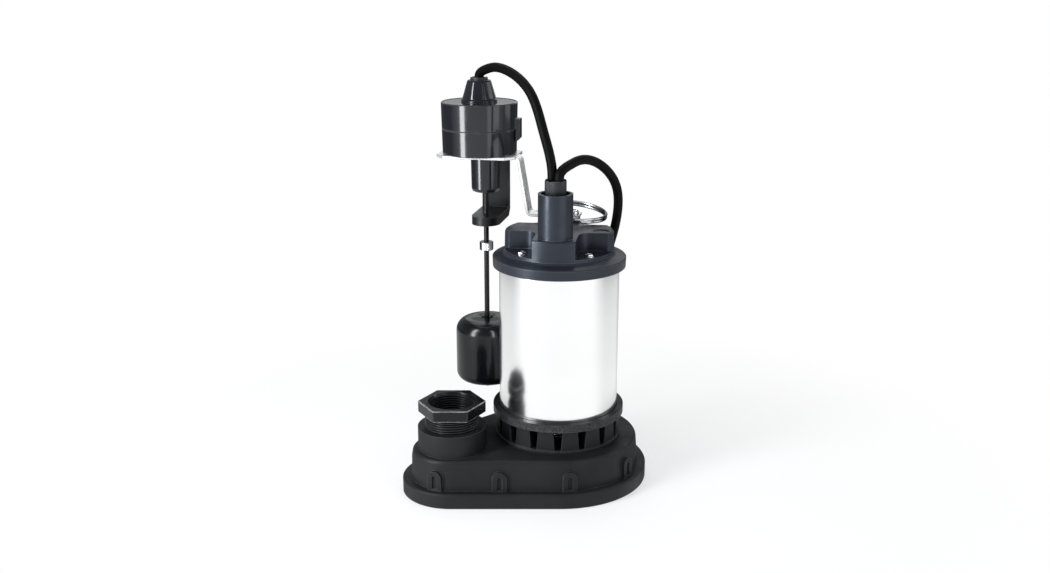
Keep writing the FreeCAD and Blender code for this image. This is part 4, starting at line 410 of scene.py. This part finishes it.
SURFACES = {slot: surface.material for slot, surface in {**outer_surfaces(), **inner_surfaces()}.items()}
SLOT_OF = {entry["node"]: entry["material_slot"] for entry in record["subparts"]}


def dress(piece, slot):
    """Gives every face of a piece the material of a record slot."""
    piece.data.materials.clear()
    piece.data.materials.append(SURFACES[slot])


for node_name, node_object in nodes.items():
    for material_slot in node_object.material_slots:
        material_slot.material = SURFACES[SLOT_OF[node_name]]


# ---- mesh helpers ---------------------------------------------------------------------------------

def mesh_piece(name, points, faces, sharp=35):
    """A mesh object, points in millimetres."""
    mesh = bpy.data.meshes.new(name)
    mesh.from_pydata([Vector(point) * MM for point in points], [], faces)
    mesh.update()
    mesh.shade_smooth()
    mesh.set_sharp_from_angle(angle=math.radians(sharp))
    piece = bpy.data.objects.new(name, mesh)
    scene.collection.objects.link(piece)
    return piece


def skin(rings, loop=False):
    """Points and faces over rings of equally many points. Without loop the two ends are capped."""
    count = len(rings[0])
    points = [point for ring in rings for point in ring]
    faces = []
    spans = len(rings) if loop else len(rings) - 1
    for row in range(spans):
        low, high = row * count, (row + 1) % len(rings) * count
        for step in range(count):
            after = (step + 1) % count
            faces.append((low + step, low + after, high + after, high + step))
    if not loop:
        faces.append(tuple(reversed(range(count))))
        faces.append(tuple(range(len(points) - count, len(points))))
    return points, faces


def round_point(centre, reach, angle, height):
    """Point at a distance and an angle about a vertical axis through the centre."""
    return (centre[0] + reach * math.cos(angle), centre[1] + reach * math.sin(angle), height)


def lathe(profile, centre, steps=96, loop=True, shape=None):
    """Skin of a profile of (radius, height) turned about a vertical axis.

    shape(radius, height, angle) may return another (radius, height) for a point.
    """
    rings = []
    for radius, height in profile:
        ring = []
        for step in range(steps):
            angle = FULL * step / steps
            reach, level = shape(radius, height, angle) if shape else (radius, height)
            ring.append(round_point(centre, reach, angle, level))
        rings.append(ring)
    return skin(rings, loop)


def tube(path, radius, sides=16):
    """Skin of a round wire along a path of points, its frame carried along without twist."""
    path = [Vector(point) for point in path]
    rings = []
    side = None
    for index, point in enumerate(path):
        ahead = path[min(index + 1, len(path) - 1)] - path[max(index - 1, 0)]
        ahead.normalize()
        if side is None:
            side = ahead.orthogonal().normalized()
        side = (side - ahead * side.dot(ahead)).normalized()
        other = ahead.cross(side)
        rings.append([point + side * radius * math.cos(FULL * k / sides)
                      + other * radius * math.sin(FULL * k / sides) for k in range(sides)])
    return skin(rings)


def joined(parts):
    """One list of points and faces from several."""
    points, faces = [], []
    for more_points, more_faces in parts:
        start = len(points)
        points.extend(more_points)
        faces.extend(tuple(start + corner for corner in face) for face in more_faces)
    return points, faces


def stand_in(name, skin_data, body, slot, *replaced, sharp=35):
    """A finished piece that rides on a body and is shown in place of CAD nodes."""
    piece = mesh_piece(name, *skin_data, sharp=sharp)
    dress(piece, slot)
    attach(piece, body)
    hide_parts(*replaced)
    return piece


# ---- discharge bushing ----------------------------------------------------------------------------

THREAD_PITCH = 2.21
THREAD_DEPTH = 1.25
BORE_THREAD_START = 14
MALE_THREAD_START = 18
ROWS_PER_PITCH = 8
HEX_TURN = math.radians(-110.8)


def thread_wave(height, angle):
    """1 on a thread's crest and 0 in its root."""
    phase = (height / THREAD_PITCH - angle / FULL) % 1
    return min(1.0, max(0.0, (abs(2 * phase - 1) - 0.12) / 0.72))


def hexagon_radius(angle, across, turn, corner):
    """Distance to a hexagon's side at an angle, its corners cut back to the corner radius."""
    sector = math.radians(60)
    offset = (angle - turn + sector / 2) % sector - sector / 2
    return min(across / 2 / math.cos(offset), corner)


def bushing_profile(foot, top):
    """Outline of the bushing, up the bore and down the outside, as (kind, radius, height).

    The radius of a "hex" row is its distance in from the hexagon's side.
    """
    bore, mouth, male, edge = 19.4, 21.1, 24.15, 0.45
    bore_thread_low, male_thread_low = foot + BORE_THREAD_START, foot + MALE_THREAD_START
    hex_low = top - HEX_TALL
    bore_thread_top, male_thread_top = top - 1.2, hex_low - 0.9
    row = THREAD_PITCH / ROWS_PER_PITCH
    profile = [("plain", bore, foot), ("plain", bore, bore_thread_low - 1)]
    for index in range(int((bore_thread_top - bore_thread_low) / row)):
        profile.append(("inner", bore, bore_thread_low + index * row))
    profile += [
        ("plain", mouth - 0.5, bore_thread_top + 0.2),
        ("plain", mouth, top),
        ("hex", edge, top),
        ("hex", 0, top - edge),
        ("hex", 0, hex_low + edge),
        ("hex", edge, hex_low),
        ("plain", male - THREAD_DEPTH, hex_low),
        ("plain", male - THREAD_DEPTH, male_thread_top),
    ]
    for index in range(1, int((male_thread_top - male_thread_low) / row)):
        profile.append(("outer", male, male_thread_top - index * row))
    return profile + [("plain", male, male_thread_low - 1), ("plain", male, foot)]


def bushing_reach(kind, radius, height, angle, fade_low):
    """Distance from the bushing's axis to its skin. The bore's thread fades in from fade_low upwards."""
    across, fade_tall = 52.3, 4
    if kind == "hex":
        corner = across / 2 / math.cos(math.radians(30)) - 0.35
        return hexagon_radius(angle, across, HEX_TURN, corner) - radius
    if kind == "inner":
        fade = min(1.0, (height - fade_low) / fade_tall)
        return radius + THREAD_DEPTH * fade * (1 - thread_wave(height, angle))
    if kind == "outer":
        return radius - THREAD_DEPTH * (1 - thread_wave(height, angle))
    return radius


def bushing():
    """Hexagon reducing bushing with a helical thread outside and in its mouth."""
    low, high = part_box("discharge_bushing")
    centre = middle("discharge_bushing")
    foot, top = low.z / MM, high.z / MM
    fade_low = foot + BORE_THREAD_START
    steps = 240
    rings = []
    for kind, radius, height in bushing_profile(foot, top):
        ring = []
        for step in range(steps):
            angle = FULL * step / steps
            reach = bushing_reach(kind, radius, height, angle, fade_low)
            ring.append(round_point(centre, reach, angle, height))
        rings.append(ring)
    stand_in("threaded_bushing", skin(rings, loop=True), "pump_body", "bushing_plastic",
             "discharge_bushing", sharp=32)


# ---- cord gland nut and switch gland --------------------------------------------------------------

def gland_nut():
    """Knurled nut: six blunt lobes, fine ribs all round and a castellated rim."""
    low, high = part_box("cord_gland_nut")
    centre = middle("cord_gland_nut")
    foot, top, outer, bore = low.z / MM, high.z / MM, 9.6, 8.45
    lobe_depth, rib_depth, ribs, rim_tall = 0.55, 0.16, 48, 0.5

    def shape(radius, height, angle):
        if radius < bore + 0.3:
            return radius, height
        lobe = abs(math.cos(3 * (angle - math.radians(5)))) ** 0.7
        rib = 0.5 + 0.5 * math.cos(ribs * angle)
        reach = radius - lobe_depth * (1 - lobe) - rib_depth * (1 - rib)
        if height > top - rim_tall:
            height -= 0.9 * (1 - min(1.0, lobe * 1.35)) + 0.25 * (1 - rib)
        return reach, height

    profile = [(bore, foot), (bore, top - 1.6), (bore + 0.25, top - 1.2), (bore + 0.55, top - 0.3),
               (outer - 0.35, top), (outer, top - 0.9), (outer, foot + 18.5), (outer - 0.2, foot + 18.0),
               (outer - 0.2, foot)]
    stand_in("ribbed_cord_nut", lathe(profile, centre, 288, shape=shape), "pump_body", "gland_plastic",
             "cord_gland_nut", sharp=40)


def switch_gland():
    """Cone on the switch lid: round foot, eight blunt facets above it."""
    low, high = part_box("switch_gland")
    centre = middle("switch_gland")
    foot, top = low.z / MM, high.z / MM
    bore, foot_tall, fade_tall = 8.02, 3.2, 3
    sector = math.radians(45)

    def shape(radius, height, angle):
        if radius < 9.0 or height < foot + foot_tall:
            return radius, height
        offset = (angle + math.radians(2.5)) % sector - sector / 2
        flat = math.cos(sector / 2) / math.cos(offset)
        share = 0.8 * min(1.0, (height - foot - foot_tall) / fade_tall)
        return radius * (1 - share + share * min(1.0, flat * 1.035)), height

    profile = [(bore, foot), (16.5, foot), (16.5, foot + 1.7), (16.2, foot + 2.3), (15.5, foot + 3.1),
               (15.3, foot + 4.0), (13.9, foot + 9.0), (12.2, foot + 15.0), (11.4, foot + 17.6),
               (11.0, foot + 18.7), (10.2, foot + 19.6), (9.5, top), (bore, top)]
    stand_in("faceted_switch_gland", lathe(profile, centre, 192, shape=shape), "pump_body",
             "switch_plastic", "switch_gland", sharp=24)


def gland_collar():
    """Small six-cornered collar that grips the cord on top of the gland."""
    low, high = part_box("switch_gland_collar")
    centre = middle("switch_gland_collar")
    foot, top, outer, bore = low.z / MM, high.z / MM, 8.0, 4.35

    def shape(radius, height, angle):
        if radius < 6.0 or height < top - 2.6:
            return radius, height
        lobe = abs(math.cos(3 * angle + 0.4)) ** 0.6
        if height > top - 0.3:
            height -= 0.8 * (1 - lobe)
        return radius - 0.5 * (1 - lobe), height

    profile = [(bore, foot), (bore, top - 1.2), (5.2, top - 0.25), (outer - 0.5, top), (outer, top - 0.6),
               (outer, top - 2.7), (outer, foot)]
    stand_in("lobed_gland_collar", lathe(profile, centre, 180, shape=shape), "pump_body", "gland_plastic",
             "switch_gland_collar", sharp=40)


# ---- fasteners ------------------------------------------------------------------------------------

def islands(node):
    """Centre (x, y) in millimetres of each separate solid of a node, from its vertices' clusters."""
    cluster_reach = 12
    found = []
    for vertex in nodes[node].data.vertices:
        spot = Vector((vertex.co.x / MM, vertex.co.y / MM))
        for cluster in found:
            if (cluster[0] - spot).length < cluster_reach:
                cluster[1] = Vector(map(min, cluster[1], spot))
                cluster[2] = Vector(map(max, cluster[2], spot))
                break
        else:
            found.append([spot, spot.copy(), spot.copy()])
    return [(cluster[1] + cluster[2]) / 2 for cluster in found]


def hex_washer_head(spot, foot, top, shank_low):
    """Hexagon head on its washer, with a shallow dish in the top and the plain shank under it."""
    washer, shank, across = 4.6, 2.5, 7.0
    side = across / 2
    tall = top - foot
    turn = math.radians(17 + 31 * (spot[0] % 3))

    def shape(radius, height, angle):
        if abs(radius - side) > 0.5:
            return radius, height
        return hexagon_radius(angle, across, turn, side * 1.13) + radius - side, height

    profile = [(0.01, top - 0.5), (across * 0.28, top - 0.5), (across * 0.33, top - 0.05),
               (side - 0.35, top), (side, top - 0.35), (side, foot + tall * 0.4),
               (washer - 0.15, foot + tall * 0.3), (washer, foot + tall * 0.18), (washer, foot),
               (shank, foot), (shank, shank_low), (0.01, shank_low)]
    return lathe(profile, spot, 72, loop=False, shape=shape)


def pan_head(spot, foot, top, head, shank, shank_low):
    """Pan head with a cross recess, on its shank. It points down where its top lies below its foot."""
    sign = 1 if top > foot else -1
    turn = math.radians(20 + 40 * (spot[1] % 2))

    def shape(radius, height, angle):
        if radius < head * 0.62 and height * sign > (foot + sign * 0.2) * sign:
            across = abs(math.sin(2 * (angle - turn)))
            depth = 1.5 * (1 - min(1.0, across * radius / (head * 0.3)))
            return radius, height - sign * depth
        return radius, height

    tall = abs(top - foot)
    shares = (0.02, 0.08, 0.14, 0.2, 0.27, 0.34, 0.41, 0.48, 0.55, 0.61, 0.7, 0.8, 0.9, 0.96)
    crown = [(head * share, top - sign * tall * 0.42 * share ** 3) for share in shares]
    profile = crown + [(head, foot + sign * tall * 0.45), (head, foot + sign * 0.2), (head - 0.2, foot),
                       (shank, foot), (shank, shank_low), (0.01, shank_low)]
    return lathe(profile, spot, 96, loop=False, shape=shape)


def tie_bolt_heads():
    """Four through-bolts in the pockets of the cap."""
    low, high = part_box("tie_bolts")
    top = high.z / MM
    foot = top - 2.4
    heads = [hex_washer_head(spot, foot, top, low.z / MM) for spot in islands("tie_bolts")]
    stand_in("tie_bolt_heads", joined(heads), "pump_body", "bright_steel", "tie_bolts", sharp=30)


def bracket_screw_heads():
    """Screws that hold the switch bracket on the cap."""
    low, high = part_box("bracket_screws")
    top = high.z / MM
    foot = top - 4.8
    heads = [pan_head(spot, foot, top, 4.1, 2.5, low.z / MM) for spot in islands("bracket_screws")]
    stand_in("bracket_pan_screws", joined(heads), "pump_body", "bright_steel", "bracket_screws", sharp=30)


def switch_screw_heads():
    """Screws that hold the switch from below, their heads down."""
    low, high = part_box("switch_mount_screws")
    top = low.z / MM
    foot = top + 2.6
    heads = [pan_head(spot, foot, top, 4.0, 2.0, high.z / MM) for spot in islands("switch_mount_screws")]
    stand_in("switch_pan_screws", joined(heads), "pump_body", "bright_steel", "switch_mount_screws",
             sharp=30)


# ---- carry ring -----------------------------------------------------------------------------------

def carry_ring():
    """Split ring of two turns of round wire, the ends cut square and the middle stepping across."""
    swing = next(joint for joint in frame["joints"] if joint["name"] == "ring_swing")
    centre = middle("carry_ring")
    outward = (Vector(swing["pos_m"]) / MM - centre).normalized()
    side = Vector(swing["axis"])
    normal = outward.cross(side)
    radius, wire, gap = 28.0, 1.33, 2.6
    first_angle, turns, steps = math.radians(60), 1.97, 320
    step_start, step_length = 0.42, 0.16
    path = []
    for step in range(steps + 1):
        angle = first_angle + FULL * turns * step / steps
        across = min(1.0, max(0.0, (step / steps - step_start) / step_length))
        across = across * across * (3 - 2 * across)
        height = gap * (across - 0.5)
        flat = outward * radius * math.cos(angle) + side * radius * math.sin(angle)
        path.append(centre + flat + normal * height)
    stand_in("coiled_carry_ring", tube(path, wire, 20), "carry_ring_body", "bright_steel", "carry_ring",
             sharp=50)


# ---- float ----------------------------------------------------------------------------------------

def float_shell():
    """Blow-moulded float: rounded shoulders and a sunk mouth round the rod."""
    low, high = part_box("float")
    centre = middle("float")
    foot, top, outer, bore = low.z / MM, high.z / MM, 29.5, 4.25
    top_round, foot_round = 12.0, 9.0
    profile = [(bore, foot), (bore + 4.0, foot + 0.05)]
    for step in range(13):
        angle = math.radians(90 * step / 12)
        profile.append((outer - foot_round + foot_round * math.sin(angle),
                        foot + foot_round - foot_round * math.cos(angle)))
    for step in range(15):
        angle = math.radians(90 * step / 14)
        profile.append((outer - top_round + top_round * math.cos(angle),
                        top - top_round + top_round * math.sin(angle)))
    profile += [(bore + 1.8, top), (bore + 1.2, top - 0.5), (bore + 0.8, top - 2.0),
                (bore + 0.2, top - 2.2), (bore, top - 2.6)]
    stand_in("float_shell", lathe(profile, centre, 160), "float_body", "float_plastic", "float", sharp=40)


# ---- plug -----------------------------------------------------------------------------------------

def plug_levels(tall):
    """Heights up the plug and the share of the full section there."""
    levels = [(0.0, 0.97), (0.6, 1.0), (9.0, 1.0), (11.0, 0.97), (13.0, 0.86)]
    for rib in range(4):
        height, groove = 14.0 + rib * 3.0, 0.84 - 0.02 * rib
        crest = groove + 0.06
        levels += [(height, groove), (height + 0.5, crest), (height + 1.5, crest), (height + 2.0, groove)]
    levels += [(28.0, 0.74), (31.0, 0.62)]
    for ring in range(3):
        height, crest = 32.0 + ring * 3.2, 0.56 - 0.03 * ring
        groove = crest - 0.06
        levels += [(height, crest), (height + 0.2, groove), (height + 1.2, groove), (height + 1.4, crest)]
    return levels + [(tall, 0.45)]


def plug_body():
    """Moulded plug: squared body that narrows to a grip, finger ribs and a ringed strain relief."""
    low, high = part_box("plug_body")
    centre = middle("plug_body")
    foot, top = low.z / MM, high.z / MM
    turn = math.radians(-34)
    half_wide, half_deep = 13.5, 10.5
    rounding_start, rounding_length = 24.0, 8.0
    rings = []
    for height, share in plug_levels(top - foot):
        blend = min(1.0, max(0.0, (height - rounding_start) / rounding_length))
        power = 6 - 4 * blend
        deep = half_deep + (half_wide - half_deep) * 0.2 * blend
        wide = half_wide + (half_deep - half_wide) * 0.6 * blend
        ring = []
        for step in range(96):
            angle = FULL * step / 96
            along, across = abs(math.cos(angle) / wide), abs(math.sin(angle) / deep)
            reach = (along ** power + across ** power) ** (-1 / power) * share
            ring.append(round_point(centre, reach, angle + turn, foot + height))
        rings.append(ring)
    stand_in("moulded_plug", skin(rings), "pump_body", "cord_rubber", "plug_body", sharp=40)


bushing()
gland_nut()
switch_gland()
gland_collar()
tie_bolt_heads()
bracket_screw_heads()
switch_screw_heads()
carry_ring()
float_shell()
plug_body()


# ---- stage: floor, world, lights and camera -------------------------------------------------------

TOWARDS_CAMERA = (-0.384, -0.923, 0.0)


def painted_floor_reflection(surface, reach, facing):
    """Strength of the floor's painted reflection, bright in front of the pump.

    At its flanks and behind it the reflection is greyer, darker still far off, with painted shadow close to
    the pump.
    """
    near_falloff = surface.remap(reach, 0.3, 1.0, 0.12, 0.26)
    far_falloff = surface.remap(reach, 0.92, 0.78, 0.25, 0.68)
    near = surface.product(near_falloff, far_falloff)
    flank = surface.product(near, surface.remap(reach, 1.0, 0.12, 0.70, 0.88))
    behind = surface.remap(facing, 0.55, 1.0, -0.98, -0.75)
    tone = surface.node("ShaderNodeMix", data_type="FLOAT")
    surface.link(surface.remap(facing, 0, 1, -0.05, 0.4), tone.inputs["Factor"])
    surface.link(surface.product(flank, behind), tone.inputs["A"])
    tone.inputs["B"].default_value = 1.05
    return tone.outputs["Result"]


def floor():
    """Pale studio floor that fades into the backdrop with distance, and glows as a painted reflection for
    glossy rays.
    """
    bpy.ops.mesh.primitive_plane_add(size=12, location=(0, 0, -0.0004))
    ground = bpy.context.object
    ground.name = "studio_floor"
    surface = Surface("studio_floor", (0.90, 0.90, 0.905), 0.6).vary(2.0, 0.01, 0.1).bump(300, 0.00002)
    place = surface.node("ShaderNodeNewGeometry").outputs["Position"]
    length = surface.node("ShaderNodeVectorMath", operation="LENGTH")
    surface.link(place, length.inputs[0])
    reach = length.outputs["Value"]
    heading = surface.node("ShaderNodeVectorMath", operation="NORMALIZE")
    surface.link(place, heading.inputs[0])
    facing = surface.node("ShaderNodeVectorMath", operation="DOT_PRODUCT")
    surface.link(heading.outputs["Vector"], facing.inputs[0])
    facing.inputs[1].default_value = TOWARDS_CAMERA

    backdrop = surface.node("ShaderNodeEmission")
    fade = surface.node("ShaderNodeMixShader")
    surface.link(surface.remap(reach, 0.55, 1, 0.12, 0.45), fade.inputs["Fac"])
    surface.link(surface.shader.outputs["BSDF"], fade.inputs[1])
    surface.link(backdrop.outputs["Emission"], fade.inputs[2])

    # The floor glows for glossy rays only: a painted reflection of a lit floor, with painted shadow close to
    # the pump.
    painted_reflection_glow = surface.node("ShaderNodeEmission")
    surface.link(painted_floor_reflection(surface, reach, facing.outputs["Value"]), painted_reflection_glow.inputs["Strength"])
    path = surface.node("ShaderNodeLightPath")
    seen = surface.node("ShaderNodeMixShader")
    surface.link(path.outputs["Is Glossy Ray"], seen.inputs["Fac"])
    surface.link(fade.outputs["Shader"], seen.inputs[1])
    surface.link(painted_reflection_glow.outputs["Emission"], seen.inputs[2])
    surface.link(seen.outputs["Shader"], surface.tree.nodes["Material Output"].inputs["Surface"])
    ground.data.materials.append(surface.material)


def world():
    """White to the camera, soft light to matt surfaces, and a dimmer studio in reflections."""
    made = bpy.data.worlds.new("studio")
    scene.world = made
    made.use_nodes = True
    tree = made.node_tree
    tree.nodes.clear()

    def background(strength, colour=(1, 1, 1, 1)):
        node = tree.nodes.new("ShaderNodeBackground")
        node.inputs["Color"].default_value = colour
        node.inputs["Strength"].default_value = strength
        return node

    def mixed(factor, first, second):
        node = tree.nodes.new("ShaderNodeMixShader")
        tree.links.new(factor, node.inputs["Fac"])
        tree.links.new(first.outputs[0], node.inputs[1])
        tree.links.new(second.outputs[0], node.inputs[2])
        return node

    path = tree.nodes.new("ShaderNodeLightPath")
    place = tree.nodes.new("ShaderNodeTexCoord")
    split = tree.nodes.new("ShaderNodeSeparateXYZ")
    tree.links.new(place.outputs["Generated"], split.inputs["Vector"])
    rise = tree.nodes.new("ShaderNodeMapRange")
    rise.inputs["From Min"].default_value = 0.0
    rise.inputs["From Max"].default_value = 0.9
    rise.inputs["To Min"].default_value = 0.36
    rise.inputs["To Max"].default_value = 0.2
    tree.links.new(split.outputs["Z"], rise.inputs["Value"])
    reflected = background(0.4, (0.9, 0.94, 1.0, 1))
    tree.links.new(rise.outputs["Result"], reflected.inputs["Strength"])
    lit = mixed(path.outputs["Is Glossy Ray"], background(0.3, (0.95, 0.97, 1.0, 1)), reflected)
    seen = mixed(path.outputs["Is Camera Ray"], lit, background(1.0))
    output = tree.nodes.new("ShaderNodeOutputWorld")
    tree.links.new(seen.outputs["Shader"], output.inputs["Surface"])


def area_light(name, location, target, size, power, colour=(1, 1, 1)):
    """Rectangular lamp aimed at a target. size is its width and height."""
    lamp = bpy.data.lights.new(name, "AREA")
    lamp.shape = "RECTANGLE"
    lamp.size, lamp.size_y = size
    lamp.energy = power
    lamp.color = colour
    holder = bpy.data.objects.new(name, lamp)
    holder.location = location
    direction = Vector(target) - Vector(location)
    holder.rotation_euler = direction.to_track_quat("-Z", "Y").to_euler()
    scene.collection.objects.link(holder)


def beside(angle, distance, height):
    """A point round the pump: angle is from the camera's direction, positive to its right."""
    turned = Matrix.Rotation(math.radians(angle), 3, "Z") @ Vector(TOWARDS_CAMERA)
    return (turned.x * distance, turned.y * distance, height)


def lights():
    """Tall strips in front for the highlights, a broad light overhead and two behind for the rims."""
    area_light("key_strip", beside(-55, 0.78, 0.5), (0, 0, 0.42), (0.2, 0.98), 10.8, (0.95, 0.97, 1.0))
    area_light("fill_strip", beside(45, 0.8, 0.5), (0, 0, 0.42), (0.6, 0.9), 2.4, (0.9, 0.94, 1.0))
    area_light("side_right", beside(100, 0.9, 0.5), (0, 0, 0.3), (0.4, 0.7), 1.6)
    area_light("overhead", beside(180, 0.38, 1.4), (0, 0, 0.17), (1.2, 1.3), 5.6)
    area_light("rim", beside(178, 1.0, 1.12), (0, 0, 0.2), (1.1, 0.4), 1.6)
    area_light("back", beside(175, 1.2, 0.66), (0, 0, 0.33), (1.1, 0.35), 1.1)


def camera():
    """Camera in front of the pump and to its left, looking slightly down."""
    pitch_down, turn_right = 15.8, 20.8
    data = bpy.data.cameras.new("product_camera")
    data.lens = 39.1
    data.sensor_width = 36
    holder = bpy.data.objects.new("product_camera", data)
    holder.location = (-0.3753, -0.9027, 0.4536)
    holder.rotation_euler = (math.radians(90 - pitch_down), 0, math.radians(-turn_right))
    scene.collection.objects.link(holder)
    scene.camera = holder
    scene.view_settings.view_transform = "Standard"
    scene.view_settings.look = "None"


floor()
world()
lights()
camera()
